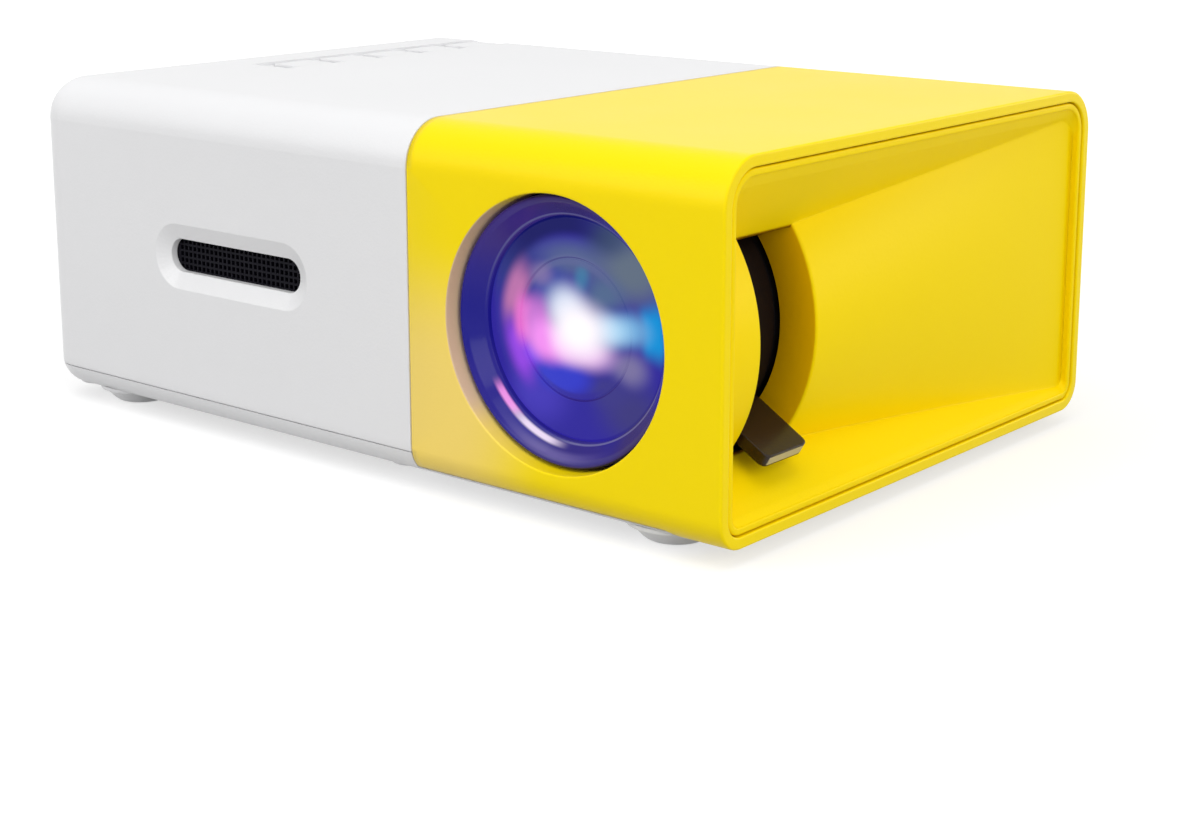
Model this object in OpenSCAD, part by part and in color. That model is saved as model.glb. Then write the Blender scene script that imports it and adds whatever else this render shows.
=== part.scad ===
// Home projector: white case, yellow sleeve at the lens end, side scoop with a focus lever.
// +Z is up, -Y is the front with the lens, +X is the end with the scoop.
// The origin is under the middle of the case, on the surface that it stands on.

/* [Case] */
// Width of the case, end to end
body_w = 126; // [122:1:140]
// Depth of the case, front to rear
body_d = 86; // [84:1:96]
// Height of the case without its feet
body_h = 46; // [45:0.5:52]
// Height of the feet
foot_h = 2; // [1:0.5:4]
// Length of the yellow sleeve
sleeve_w = 49.4; // [48.4:0.2:51]
// Wall of the white shell
wall = 2; // [1.6:0.1:2.2]
// Wall of the yellow sleeve
sleeve_wall = 1.5; // [1.2:0.1:1.8]
// Radius of the long upper edges
top_r = 6; // [4:0.5:6]
// Radius of the long lower edges
low_r = 4; // [3:0.5:5]
// Radius of the upright edges at the closed end
end_r = 6; // [6:0.5:9]
// Height of the white case's parting line above its underside
part_h = 3.3; // [2.8:0.1:4]
// Gap that shows as the dark line between the white case and the sleeve
seam_gap = 0.25; // [0.15:0.05:0.5]

/* [Lens] */
// Distance from the scoop end to the lens axis
lens_inset = 25.6; // [25.2:0.1:26]
// Distance of the lens axis below the middle of the case's height
lens_drop = 0.8; // [0:0.1:1]
// Radius of the lens hole in the sleeve
lens_hole_r = 17.2; // [17:0.1:17.6]
// Gap all round between the lens hole and the front ring
lens_hole_gap = 0.4; // [0.3:0.1:0.8]
// Depth of the front ring's face below the front of the case
lens_recess = 1.8; // [1.5:0.1:2.4]
// Outer radius of the lens barrel's tube
barrel_r = 14.2; // [13.6:0.1:14.4]
// Running clearance of the sliding and turning tubes
run_gap = 0.05; // [0.03:0.01:0.1]
// Distance that the lens slides while it focuses
lens_travel = 3; // [2:0.5:3]

/* [Focus lever] */
// Angle that the lever and its ring turn through
focus_turn = 62; // [40:2:62]
// Angle of the lever below level when it rests at its lower stop
lever_drop = 31; // [25:1:31]
// Distance from the lens axis to the lever's tip
lever_reach = 27.2; // [26:0.1:28]
// Width of the lever along the lens axis
lever_w = 8.4; // [6:0.2:9]
// Thickness of the lever
lever_t = 1.6; // [1.2:0.1:2.2]

/* [Side scoop] */
// How much further than the scoop's ceiling the round wall with the lever's window reaches
drum_over = 1.8; // [1.4:0.1:2.2]
// Width of the window, along the lens axis
window_w = 11.5; // [10:0.5:13]
// Distance from the front of the case to the window
window_in = 11; // [10.5:0.1:12]
// Depth of the scoop's panel at its rear end
scoop_rear_depth = 2.8; // [2:0.1:4]
// Width of the scoop's rim
rim_w = 0.9; // [0.6:0.1:1.4]
// Wall of the scoop
scoop_wall = 1.4; // [1.2:0.1:1.8]

/* [Front vent] */
// Length of the slot
vent_w = 26.5; // [20:0.5:28]
// Height of the slot
vent_h = 4.7; // [4:0.1:6]
// Distance from the closed end to the slot's middle
vent_in = 42.4; // [38:0.2:44]
// Width of the dished border round the slot
dish_w = 2.3; // [1.5:0.1:3]
// Holes along the mesh
mesh_cols = 28; // [16:1:32]
// Rows of holes in the mesh
mesh_rows = 5; // [3:1:6]

/* [Keys] */
// Distance between the keys' middles
key_pitch = 9.5; // [9:0.1:10]
// Length of a key along the strip
key_l = 7.6; // [6:0.1:8]
// Width of a key
key_w = 6; // [5:0.1:6.4]
// Distance that a key can be pressed
key_travel = 0.5; // [0.3:0.05:0.5]

/* [Cooling] */
// Size of the square fan
fan_size = 35; // [30:1:35]
// Thickness of the fan
fan_t = 10; // [8:0.5:10]
// Number of fan blades
blades = 7; // [5:1:9]
// Width of the heatsink
sink_size = 36; // [32:1:36]
// Number of fins on the heatsink
fins = 11; // [7:1:13]

/* [Sockets] */
// Radius of an audio jack's bore
jack_r = 1.75; // [1.25:0.05:1.75]
// Radius of the power inlet's bore
inlet_r = 2.75; // [2.5:0.05:3.2]
// Radius of the tripod insert's threaded bore
tripod_r = 2.59; // [2.4:0.01:3]

/* [Hidden] */
$fn = 72;
e = 0.01;              // overshoot of a cut past a face
fit = 0.1;             // gap between pieces that are set into one another

// Case faces
x_l = -body_w / 2;
x_r = body_w / 2;
y_f = -body_d / 2;
y_b = body_d / 2;
z_lo = foot_h;
z_hi = foot_h + body_h;
x_seam = x_r - sleeve_w;
z_floor = z_lo + wall;
z_roof = z_hi - wall;
part_z = z_lo + part_h;
part_gap = 0.12;

// Bottom cover below the sleeve
tuck_z = z_lo + 1.1;             // height of its thin edge
cover_end = x_r - 5.5;
cover_r = 8;
foot_r = 6.2;
foot_in_x = 12.5;                // distance of the feet from the ends
foot_in_y = 8;

// Lens and light path
lens_x = x_r - lens_inset;
lens_z = z_lo + body_h / 2 - lens_drop;
collar_r = lens_hole_r + 1.2;    // outside of the collar behind the lens hole
bezel_r = lens_hole_r - lens_hole_gap;
bezel_y = y_f + lens_recess;
bezel_t = 4;                     // length of the barrel's front flange
funnel = 2.3;                    // depth of the flange's sloped face
seat = 4;                        // depth of the front lens's rear face
glass_r = barrel_r - 0.2;
barrel_wall = 1.6;
barrel_in = barrel_r - barrel_wall;
eye_r = 9.2;                     // raised middle of the front lens
stop_r = 9.6;                    // opening of the baffle behind the front lens
ring_y0 = bezel_y + bezel_t + lens_travel + 0.3;
ring_y1 = y_f + window_in + window_w - 0.5;
mount_in = barrel_r + run_gap;
mount_out = mount_in + 1.15;
ring_in = mount_out + run_gap;
ring_out = ring_in + 1.7;
barrel_end = bezel_y + 24.6;
engine_y0 = barrel_end + lens_travel + 1;   // front face of the engine case
opt_y = engine_y0 + 19;          // light path from the lamp to the mirror
pin_r = 1;
pin_y = ring_y0 + 4.8;
pin_angles = [60, 180, 300];
groove_steps = 12;

// Speaker behind the vent
mesh_t = 0.8;
speaker_y = y_f + wall + mesh_t;

// Window and scoop
win_y0 = y_f + window_in;
win_y1 = win_y0 + window_w;
lever_x = ring_in + 0.5;         // root of the lever in the ring
lever_y = (win_y0 + win_y1 - lever_w) / 2 - 0.8;
face_x = x_r - 0.2;              // rim of the scoop, just inside the sleeve's end
rim_in = sleeve_wall + 0.2;
open_in = rim_in + rim_w;
open_lo = z_lo + open_in;
open_hi = z_hi - open_in;
drum_r = open_hi - lens_z + drum_over;
panel_x1 = face_x - scoop_rear_depth;
panel_up = 13.2;                 // edges of the panel above and below the lens axis
panel_down = drum_r * sin(lever_drop) + 3.95;
panel_hi = lens_z + panel_up;
panel_lo = lens_z - panel_down;
panel_y1 = y_b - open_in - 0.6;
panel_x0 = lens_x + sqrt(drum_r * drum_r - panel_up * panel_up) + 0.56;
ceiling_x0 = panel_x0 - 0.6;     // ceiling and floor start inside the drum's wall
floor_x0 = lens_x + sqrt(drum_r * drum_r - panel_down * panel_down) + 0.48;
tuck = 0.9;                      // how far the panel's edges reach into them
drum_tuck = 0.75;                // and the round walls' edges
skirt_x = x_r - 8;

// Light engine
eng_wall = 1.5;
eng_h = body_h - 8;
eng_z0 = lens_z - eng_h / 2;
eng_z1 = lens_z + eng_h / 2;
optic_h = eng_h - 2 * eng_wall;
mirror_t = 2;
room_x1 = x_r - 11.2;
fan_x0 = x_l + wall;
sink_x0 = fan_x0 + fan_t + 0.5;
fin_l = 12;
sink_base = 4;
led_x = sink_x0 + fin_l + sink_base;
led_t = 1.6;
tunnel_x0 = led_x + led_t;
lcd_x0 = lens_x - 33;            // start of the wide part that holds the panel
room_x0 = lens_x - 21.4;
lcd_t = 2.2;
fresnel_t = 1.5;
front_fresnel_x = lcd_x0 + 1.7;
lcd_x = lcd_x0 + 4.4;
rear_fresnel_x = lcd_x + lcd_t + 1.3;
heat_t = 1.1;
heat_x = lcd_x0 - 7;
rib_t = 1.1;

// Main board and its sockets
socket_d = 13;
board_t = 1.6;
board_y1 = y_b - wall - socket_d;
board_y0 = board_y1 - board_t;
board_gap = 2.5;                 // room between the board and the light engine
board_x0 = x_l + 9;
board_x1 = lcd_x0 - 0.8;
board_z0 = z_floor + 2.4;
board_z1 = eng_z1 - 1;
port_z = z_lo + 14;
upper_z = z_lo + 28;
inlet_x = board_x0 + 5;
av_x = inlet_x + 10;
ear_x = av_x + 8.6;
hdmi_x = ear_x + 12.4;
usb_z = port_z + 8.2;            // USB port above the HDMI port

// Half widths inside the light engine, from its path to the board and to the rear posts
tunnel_hw = board_y0 - board_gap - eng_wall - opt_y;
lcd_hw = y_b - opt_y - 12.6;
picture_w = 2 * lcd_hw - 7;      // clear picture area of the panel
picture_h = optic_h - 4;
mirror_far = min(lcd_hw, 24);    // mirror, from its middle to its far and near edges
mirror_near = 16;
led_board_w = min(2 * tunnel_hw - 2, 30);
condenser_r = min(tunnel_hw - 1.4, 14.6);
sink_y = board_y0 - 2 - sink_size / 2;
sink_h = eng_h - 2;
fan_y = board_y0 - board_gap - fan_size / 2;

// Key strip
keys = 5;
strip_x = x_l + 17;
strip_w = 8;
strip_depth = 0.45;
strip_y0 = y_b - 55;
key_y0 = strip_y0 + 7;
key_gap = 0.2;
pad_z1 = z_roof - 2;             // top of the keypad board
pad_t = 1;
dome_h = 0.4;

// Posts and screws
post_r = 2.6;
screw_r = 1.2;
post_in = 6;
case_posts = [[x_l + 5.4, y_f + post_in], [x_l + 5.4, y_b - post_in],
              [x_seam - 5, y_f + post_in], [x_seam - 5, y_b - post_in]];
sleeve_posts = [[x_seam + 9, y_b - post_in - 1], [x_r - 13, y_b - post_in - 1]];
tripod_x = x_seam - 20;
tripod_y = opt_y - tunnel_hw - eng_wall - 11.9;
tripod_h = 8;

white = [0.94, 0.94, 0.93];
yellow = [0.98, 0.85, 0.05];
black = [0.1, 0.1, 0.11];
dark = [0.2, 0.19, 0.2];
steel = [0.75, 0.76, 0.78];
brass = [0.8, 0.65, 0.3];
glass = [0.6, 0.7, 0.9];
board_green = [0.1, 0.4, 0.25];

// ---------- shared shapes ----------

// Extrudes a drawing of the case's section, (Y, Z), from x0 to x1
module along_x(x0, x1) {
  translate([x0, 0, 0]) rotate([90, 0, 90]) linear_extrude(x1 - x0) children();
}

// Extrudes a drawing in (X, Z) from y0 to y1
module along_y(y0, y1) {
  translate([0, y1, 0]) rotate([90, 0, 0]) linear_extrude(y1 - y0) children();
}

// Round bar about the lens axis from y0 to y1
module lens_bar(y0, y1, r) {
  translate([lens_x, y0, lens_z]) rotate([-90, 0, 0]) cylinder(h = y1 - y0, r = r);
}

// Turns a drawing of (radius, Y) about the lens axis
module lens_turn() {
  translate([lens_x, 0, lens_z]) rotate([-90, 0, 0]) rotate_extrude() children();
}

// Puts a shape drawn along +X at an angle round the lens axis, measured from +X up towards +Z
module round_lens(angle, y) {
  translate([lens_x, y, lens_z]) rotate([0, -angle, 0]) children();
}

// Round bar along X about the light path, from x0 to x1
module path_bar(x0, x1, r, y = opt_y) {
  translate([x0, y, lens_z]) rotate([0, 90, 0]) cylinder(h = x1 - x0, r = r);
}

// Block centred on the light path, from x0 to x1
module path_block(x0, x1, w, h, y = opt_y) {
  translate([x0, y - w / 2, lens_z - h / 2]) cube([x1 - x0, w, h]);
}

// Slot with round ends, drawn about its middle
module slot_2d(l, h) {
  square([l - h, h], center = true);
  for (s = [-1, 1]) translate([s * (l - h) / 2, 0]) circle(r = h / 2);
}

// Rectangle with round corners, drawn about its middle
module round_rect(w, h, r) {
  square([w - 2 * r, h], center = true);
  square([w, h - 2 * r], center = true);
  for (i = [-1, 1], j = [-1, 1]) translate([i * (w / 2 - r), j * (h / 2 - r)]) circle(r = r);
}

// Case section in (Y, Z), shrunk all round by inset
module section(inset) {
  w = body_d - 2 * inset;
  rl = low_r - inset;
  rh = top_r - inset;
  lo = z_lo + inset;
  hi = z_hi - inset;
  translate([-w / 2, lo + rl]) square([w, hi - lo - rl - rh]);
  translate([-w / 2 + rl, lo]) square([w - 2 * rl, rl]);
  translate([-w / 2 + rh, hi - rh]) square([w - 2 * rh, rh]);
  for (s = [-1, 1]) {
    translate([s * (w / 2 - rh), hi - rh]) circle(r = rh);
    translate([s * (w / 2 - rl), lo + rl]) circle(r = rl);
  }
}

// Profile of the closed end, from the axis of its upright edges outwards
module end_profile(inset) {
  re = end_r - inset;
  rl = low_r - inset;
  rh = top_r - inset;
  lo = z_lo + inset;
  hi = z_hi - inset;
  intersection() {
    translate([0, lo]) square([re, hi - lo]);
    union() {
      translate([0, lo + rl]) square([re, hi - lo - rl - rh]);
      translate([0, lo]) square([re - rl + e, rl + e]);
      translate([re - rl, lo + rl]) circle(r = rl);
      translate([re - rh, hi - rh]) circle(r = rh);
      if (re > rh) translate([0, hi - rh - e]) square([re - rh, rh + e]);
    }
  }
}

// The case as a solid with its closed end rounded, shrunk by inset and cut off at x1
module case_form(inset, x1) {
  corner_y = body_d / 2 - end_r;
  along_x(x_l + end_r, x1) section(inset);
  translate([x_l + end_r, 0, 0]) rotate([0, 0, 180]) along_y(-corner_y, corner_y) end_profile(inset);
  translate([x_l + end_r, -corner_y, 0]) rotate([0, 0, 180]) rotate_extrude(angle = 90) end_profile(inset);
  translate([x_l + end_r, corner_y, 0]) rotate([0, 0, 90]) rotate_extrude(angle = 90) end_profile(inset);
}

// Plan of the bottom cover with its round corners at the scoop end, grown by grow
module cover_plan(grow) {
  x1 = cover_end + grow;
  r = cover_r + grow;
  hw = body_d / 2 + 1;
  cw = body_d / 2 - cover_r;
  translate([x_l - 1, -hw]) square([x1 - r - x_l + 1, 2 * hw]);
  translate([x1 - r - e, -cw]) square([r + e, 2 * cw]);
  for (s = [-1, 1]) translate([x1 - r, s * cw]) circle(r = r);
}

// ---------- case ----------

module keys_cut() {
  for (i = [0 : keys - 1]) {
    translate([strip_x, key_y0 + i * key_pitch, z_roof - 1]) linear_extrude(wall + 2)
      round_rect(key_w + 2 * key_gap, key_l + 2 * key_gap, 1 + key_gap);
  }
}

// Slots for the fan's air, cut to a round outline
module exhaust_cut() {
  slots = 9;
  pitch = 3.4;
  outline_r = fan_size / 2 - 0.6;
  for (i = [0 : slots - 1]) {
    off = (i - (slots - 1) / 2) * pitch;
    h = 2 * sqrt(outline_r * outline_r - off * off);
    translate([0, fan_y + off, lens_z]) rotate([0, 90, 0]) translate([0, 0, x_l - 1])
      linear_extrude(wall + 2) slot_2d(h, 1.9);
  }
}

module rear_ports_cut() {
  y0 = y_b - wall - 1;
  y1 = y_b + 1;
  along_y(y0, y1) translate([hdmi_x, port_z]) round_rect(15.4, 6.2, 0.8);
  along_y(y0, y1) translate([hdmi_x, usb_z]) round_rect(13.5, 6.2, 0.4);
  along_y(y0, y1) translate([hdmi_x, upper_z]) round_rect(13, 2.4, 0.5);
  along_y(y0, y1) translate([av_x, port_z]) circle(r = 3.2);
  along_y(y0, y1) translate([ear_x, port_z]) circle(r = 3.2);
  along_y(y0, y1) translate([inlet_x, port_z]) circle(r = 4.2);
  along_y(y0, y1) translate([av_x, upper_z]) circle(r = 2.6);
}

// Post with its screw hole, from z0 up to z1
module post(p, z0, z1) {
  translate([p[0], p[1], z0]) difference() {
    cylinder(h = z1 - z0, r = post_r);
    translate([0, 0, -e]) cylinder(h = z1 - z0 - 4, r = screw_r);
  }
}

module top_housing() color(white) {
  difference() {
    union() {
      difference() {
        case_form(0, x_seam);
        case_form(wall, x_seam + 1);
      }
      difference() {
        along_x(x_seam - 3, x_seam + 3) section(sleeve_wall + fit);
        along_x(x_seam - 4, x_seam + 4) section(sleeve_wall + 1.3);
      }
    }
    translate([x_l - 1, y_f - 1, 0]) cube([body_w, body_d + 2, part_z]);
    along_y(y_f - 1, y_f + wall + 1) translate([x_l + vent_in, lens_z + 0.9]) slot_2d(vent_w, vent_h);
    vent_dish();
    translate([strip_x - strip_w / 2, strip_y0, z_hi - strip_depth])
      cube([strip_w, y_b - strip_y0 + 1, strip_depth + 1]);
    keys_cut();
    exhaust_cut();
    rear_ports_cut();
  }
  for (p = case_posts) post(p, z_floor + 3, z_roof + e);
  for (y = [strip_y0 - 2, key_y0 + (keys - 1) * key_pitch + 5.6]) {
    translate([strip_x, y, pad_z1]) cylinder(h = z_roof - pad_z1 + e, r = 1.3);
  }
}

// Shallow dish round the front slot
module vent_dish() {
  depth = 1;
  hull() for (s = [-1, 1]) {
    translate([x_l + vent_in + s * (vent_w - vent_h) / 2, y_f - e, lens_z + 0.9]) rotate([-90, 0, 0])
      cylinder(h = depth + e, r1 = vent_h / 2 + dish_w, r2 = vent_h / 2, $fn = 32);
  }
}

// One smooth foot, its flat sole down on the ground
module foot_form() {
  sole_r = 3.4;
  steps = 10;
  profile = [for (i = [0 : steps]) let (t = i / steps)
    [sole_r + (foot_r - sole_r) * t, foot_h * (1 - cos(180 * t)) / 2]];
  rotate_extrude() polygon(concat([[0, 0]], profile, [[foot_r, foot_h + 0.5], [0, foot_h + 0.5]]));
}

module bottom_cover() color(white) {
  difference() {
    union() {
      // tray under the white case
      difference() {
        case_form(0, x_seam);
        case_form(wall, x_seam + 1);
        translate([x_l - 1, y_f - 1, part_z - part_gap]) cube([body_w, body_d + 2, body_h]);
      }
      // tongue under the sleeve, with a thin edge that the sleeve stands on
      intersection() {
        along_x(x_seam - e, cover_end) section(0);
        translate([0, 0, z_lo - 1]) linear_extrude(tuck_z - fit - z_lo + 1) cover_plan(0);
      }
      intersection() {
        translate([x_seam - 3, y_f + low_r + 0.3, z_lo]) cube([body_w, body_d - 2 * low_r - 0.6, wall]);
        translate([0, 0, z_lo - 1]) linear_extrude(wall + 1) cover_plan(-1);
      }
      for (i = [-1, 1], j = [-1, 1]) {
        translate([i * (body_w / 2 - foot_in_x), j * (body_d / 2 - foot_in_y), 0]) foot_form();
      }
      for (p = case_posts) translate([p[0], p[1], z_lo]) cylinder(h = wall + 3, r = post_r + 0.6);
      for (p = sleeve_posts) translate([p[0], p[1], z_lo]) cylinder(h = wall + 3, r = post_r);
      translate([tripod_x, tripod_y, z_lo]) cylinder(h = tripod_h + 1.5, r = 6.4);
      engine_feet();
    }
    for (p = concat(case_posts, sleeve_posts)) translate([p[0], p[1], 0]) {
      translate([0, 0, -1]) cylinder(h = body_h, r = screw_r + 0.2);
      translate([0, 0, -1]) cylinder(h = z_lo + 3, r = 2.5);
    }
    translate([tripod_x, tripod_y, -1]) cylinder(h = z_lo + 1 + tripod_h, r = 4.6);
    intake_cut();
  }
}

// Short pillars that the light engine stands on
module engine_feet() {
  for (x = [tunnel_x0 + 6, lcd_x0 - 6, lens_x - 4]) {
    translate([x, opt_y - (x > lcd_x0 ? 12 : 0), z_floor - e]) cylinder(h = eng_z0 - z_floor + e, r = 3);
  }
}

// Air slots below the heatsink
module intake_cut() {
  slots = 5;
  pitch = 3.6;
  for (i = [0 : slots - 1]) {
    translate([sink_x0 + 1.6 + i * pitch, sink_y, z_lo - 1]) rotate([0, 0, 90])
      linear_extrude(wall + 2) slot_2d(26, 1.9);
  }
}

module yellow_sleeve() color(yellow) {
  x0 = x_seam + seam_gap;
  difference() {
    union() {
      difference() {
        along_x(x0, x_r) section(0);
        along_x(x0 - 1, x_r + 1) section(sleeve_wall);
      }
      difference() {
        lens_bar(y_f + 0.5, y_f + 5, collar_r);
        lens_bar(y_f, y_f + 6, lens_hole_r);
      }
    }
    lens_bar(y_f - 1, y_f + 2, lens_hole_r);
    // opening for the bottom cover
    intersection() {
      translate([x0 - 1, y_f - 1, 0]) cube([body_w, body_d + 2, tuck_z]);
      linear_extrude(body_h) cover_plan(0.15);
    }
    intersection() {
      translate([x0 - 1, y_f + low_r, 0]) cube([body_w, body_d - 2 * low_r, z_floor + 0.5]);
      linear_extrude(body_h) cover_plan(-0.85);
    }
  }
  for (p = sleeve_posts) {
    post(p, z_floor + 3, z_hi - sleeve_wall + e);
    translate([p[0] - 0.6, p[1] + post_r - 0.3, z_floor + 6])
      cube([1.2, y_b - sleeve_wall - p[1] - post_r + 0.4, z_hi - z_floor - 14]);
  }
}

// ---------- scoop ----------

// Height of the scoop's sloped ceiling and of its floor at x
function ceiling_z(x) = panel_hi + (open_hi - panel_hi) * (x - panel_x0) / (face_x - panel_x0);
function floor_z(x) = panel_lo - (panel_lo - open_lo) * (x - panel_x0) / (face_x - panel_x0);

// The scoop's outline in (X, Z) from the drum out to x1, between its sloped ceiling and floor
module scoop_outline(x1) {
  polygon([[floor_x0, floor_z(floor_x0)], [x1, floor_z(x1)],
           [x1, ceiling_z(x1)], [ceiling_x0, ceiling_z(ceiling_x0)]]);
}

// Sloped ceiling and floor in (X, Z), each scoop_wall thick
module scoop_slopes() {
  up = scoop_wall * norm([face_x - panel_x0, open_hi - panel_hi]) / (face_x - panel_x0);
  down = scoop_wall * norm([face_x - panel_x0, panel_lo - open_lo]) / (face_x - panel_x0);
  polygon([[ceiling_x0, ceiling_z(ceiling_x0)], [face_x, ceiling_z(face_x)],
           [face_x, ceiling_z(face_x) + up], [ceiling_x0, ceiling_z(ceiling_x0) + up]]);
  polygon([[floor_x0, floor_z(floor_x0)], [floor_x0, floor_z(floor_x0) - down],
           [face_x, floor_z(face_x) - down], [face_x, floor_z(face_x)]]);
}

// Curved wall between four rails of points: outside and inside, at its front and its rear
module rail_solid(front_out, front_in, rear_out, rear_in) {
  n = len(front_out);
  last = n - 1;
  function quad(a, b, c, d) = [[a, b, c], [a, c, d]];
  faces = concat(
    [for (i = [0 : last - 1]) each quad(i, n + i, n + i + 1, i + 1)],
    [for (i = [0 : last - 1]) each quad(2 * n + i, 2 * n + i + 1, 3 * n + i + 1, 3 * n + i)],
    [for (i = [0 : last - 1]) each quad(i, i + 1, 2 * n + i + 1, 2 * n + i)],
    [for (i = [0 : last - 1]) each quad(n + i, 3 * n + i, 3 * n + i + 1, n + i + 1)],
    quad(0, 2 * n, 3 * n, n),
    quad(last, n + last, 3 * n + last, 2 * n + last));
  polyhedron(concat(front_out, front_in, rear_out, rear_in), faces, convexity = 4);
}

// The scoop's panel: an arc of the drum at the window that flattens out towards the rear
module scoop_panel() {
  steps = 20;
  z0 = panel_lo - tuck;
  z1 = panel_hi + tuck;
  r0 = floor_z(panel_x1) - tuck;
  r1 = ceiling_z(panel_x1) + tuck;
  function drum_x(z) = lens_x + sqrt(drum_r * drum_r - (z - lens_z) * (z - lens_z));
  function front(i, in) = let (z = z0 + (z1 - z0) * i / steps) [drum_x(z) - in, win_y1, z];
  function rear(i, in) = [panel_x1 - in, panel_y1, r0 + (r1 - r0) * i / steps];
  rail_solid([for (i = [0 : steps]) front(i, 0)], [for (i = [0 : steps]) front(i, scoop_wall)],
             [for (i = [0 : steps]) rear(i, 0)], [for (i = [0 : steps]) rear(i, scoop_wall)]);
}

module side_scoop() color(yellow) {
  front_in = y_f + sleeve_wall;
  // rim with the opening in it
  difference() {
    union() {
      along_x(face_x - 1.2, face_x) section(rim_in);
      difference() {
        along_x(skirt_x, face_x - 0.8) section(sleeve_wall);
        along_x(skirt_x - 1, face_x) section(sleeve_wall + 1);
      }
    }
    intersection() {
      along_y(y_f, y_b) scoop_outline(face_x + 1);
      along_x(panel_x0 - 1, face_x + 1) section(open_in);
    }
    translate([skirt_x - 1, y_f, 0]) cube([face_x - skirt_x, body_d, tuck_z + wall]);
    lens_bar(y_f, y_f + 5.3, collar_r + 0.3);
  }
  difference() {
    intersection() {
      scoop_walls();
      along_x(floor_x0 - 1, face_x) section(sleeve_wall);
    }
    lens_bar(y_f, y_f + 5.3, collar_r + 0.3);
  }
  scoop_panel();
  // drum in front of the window, and the wall behind the window
  along_y(front_in, win_y0) drum_2d(drum_r - scoop_wall, drum_r);
  along_y(win_y1, win_y1 + scoop_wall) drum_2d(ring_out + 0.5, drum_r - 0.6);
}

// Sloped ceiling and floor, and the walls at the two ends of the scoop
module scoop_walls() {
  front_in = y_f + sleeve_wall;
  rear_in = y_b - sleeve_wall;
  along_y(front_in, rear_in) scoop_slopes();
  along_y(front_in, front_in + rim_in + rim_w - sleeve_wall) scoop_outline(face_x);
  along_y(panel_y1 - e, rear_in) intersection() {
    scoop_outline(face_x);
    translate([panel_x1 - scoop_wall, z_lo]) square([body_h, body_h]);
  }
}

// Part of a round wall at the scoop, between two radii about the lens axis, in (X, Z)
module drum_2d(inner, outer) {
  intersection() {
    translate([lens_x, lens_z]) difference() {
      circle(r = outer);
      circle(r = inner);
    }
    translate([lens_x + 10, panel_lo - drum_tuck]) square([drum_r, panel_hi - panel_lo + 2 * drum_tuck]);
  }
}

// ---------- vent and speaker ----------

module front_mesh() color(black) {
  hole = 0.6;
  step_x = (vent_w - 1.4) / mesh_cols;
  step_z = (vent_h - 0.2) / mesh_rows;
  y0 = y_f + wall;
  along_y(y0, y0 + mesh_t) translate([x_l + vent_in, lens_z + 0.9]) difference() {
    round_rect(vent_w + 4, vent_h + 5, 1);
    for (i = [0 : mesh_cols - 1], j = [0 : mesh_rows - 1]) {
      translate([(i - (mesh_cols - 1) / 2) * step_x, (j - (mesh_rows - 1) / 2) * step_z])
        square(hole, center = true);
    }
  }
}

module speaker_frame() color(black) {
  along_y(speaker_y, speaker_y + 3.4) translate([x_l + vent_in, lens_z + 0.9]) difference() {
    round_rect(28, 24, 3);
    circle(r = 10.4);
  }
}

module speaker_cone() color(dark) {
  t = 0.5;
  translate([x_l + vent_in, speaker_y, lens_z + 0.9]) rotate([-90, 0, 0]) rotate_extrude()
    polygon([[10.4, 1.4], [10.4, 1.4 + t], [9.4, 1.4 + t], [4.2, 3.4], [0, 3.4], [0, 3.4 - t], [4, 3.4 - t], [9.2, 1.4]]);
}

module speaker_magnet() color(steel) {
  translate([x_l + vent_in, speaker_y + 3.4, lens_z + 0.9]) rotate([-90, 0, 0]) {
    cylinder(h = 1, r = 11);
    translate([0, 0, 1]) cylinder(h = 3, r = 8);
  }
}

// ---------- keys ----------

module key(i) color(white) {
  cap_z = z_hi - strip_depth + 0.3;
  translate([strip_x, key_y0 + i * key_pitch, 0]) {
    translate([0, 0, z_roof - 0.6]) linear_extrude(cap_z - z_roof + 0.6) round_rect(key_w, key_l, 1);
    translate([0, 0, z_roof - 0.7]) linear_extrude(0.6) round_rect(key_w + 1.2, key_l + 1, 1.2);
    translate([0, 0, pad_z1 + dome_h + key_travel + 0.1])
      cylinder(h = z_roof - 0.6 - pad_z1 - dome_h - key_travel - 0.1, r = 1.2);
  }
}

module key_1() { key(0); }
module key_2() { key(1); }
module key_3() { key(2); }
module key_4() { key(3); }
module key_5() { key(4); }

module keypad_board() {
  y0 = strip_y0 - 4;
  y1 = key_y0 + (keys - 1) * key_pitch + 7;
  color(board_green) translate([strip_x - 4, y0, pad_z1 - pad_t]) cube([8, y1 - y0, pad_t]);
  color(steel) for (i = [0 : keys - 1]) {
    translate([strip_x, key_y0 + i * key_pitch, pad_z1 - e]) cylinder(h = dome_h + e, r1 = 2.4, r2 = 1.4);
  }
}

// ---------- lens ----------

module lens_mount() color(black) {
  difference() {
    union() {
      lens_bar(ring_y0, engine_y0, mount_out);
      lens_bar(ring_y1 + 0.2, engine_y0, ring_out - 0.6);
      lens_bar(engine_y0 - 2, engine_y0, ring_out + 0.3);
    }
    lens_bar(ring_y0 - 1, engine_y0 + 1, mount_in);
    // straight slots that let the pins slide but not turn
    for (a = pin_angles) round_lens(a, pin_y - pin_r - 0.3)
      translate([mount_in - 1, 0, -pin_r - 0.1]) cube([2.6, lens_travel + 2 * pin_r + 0.6, 2 * pin_r + 0.2]);
  }
}

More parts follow.
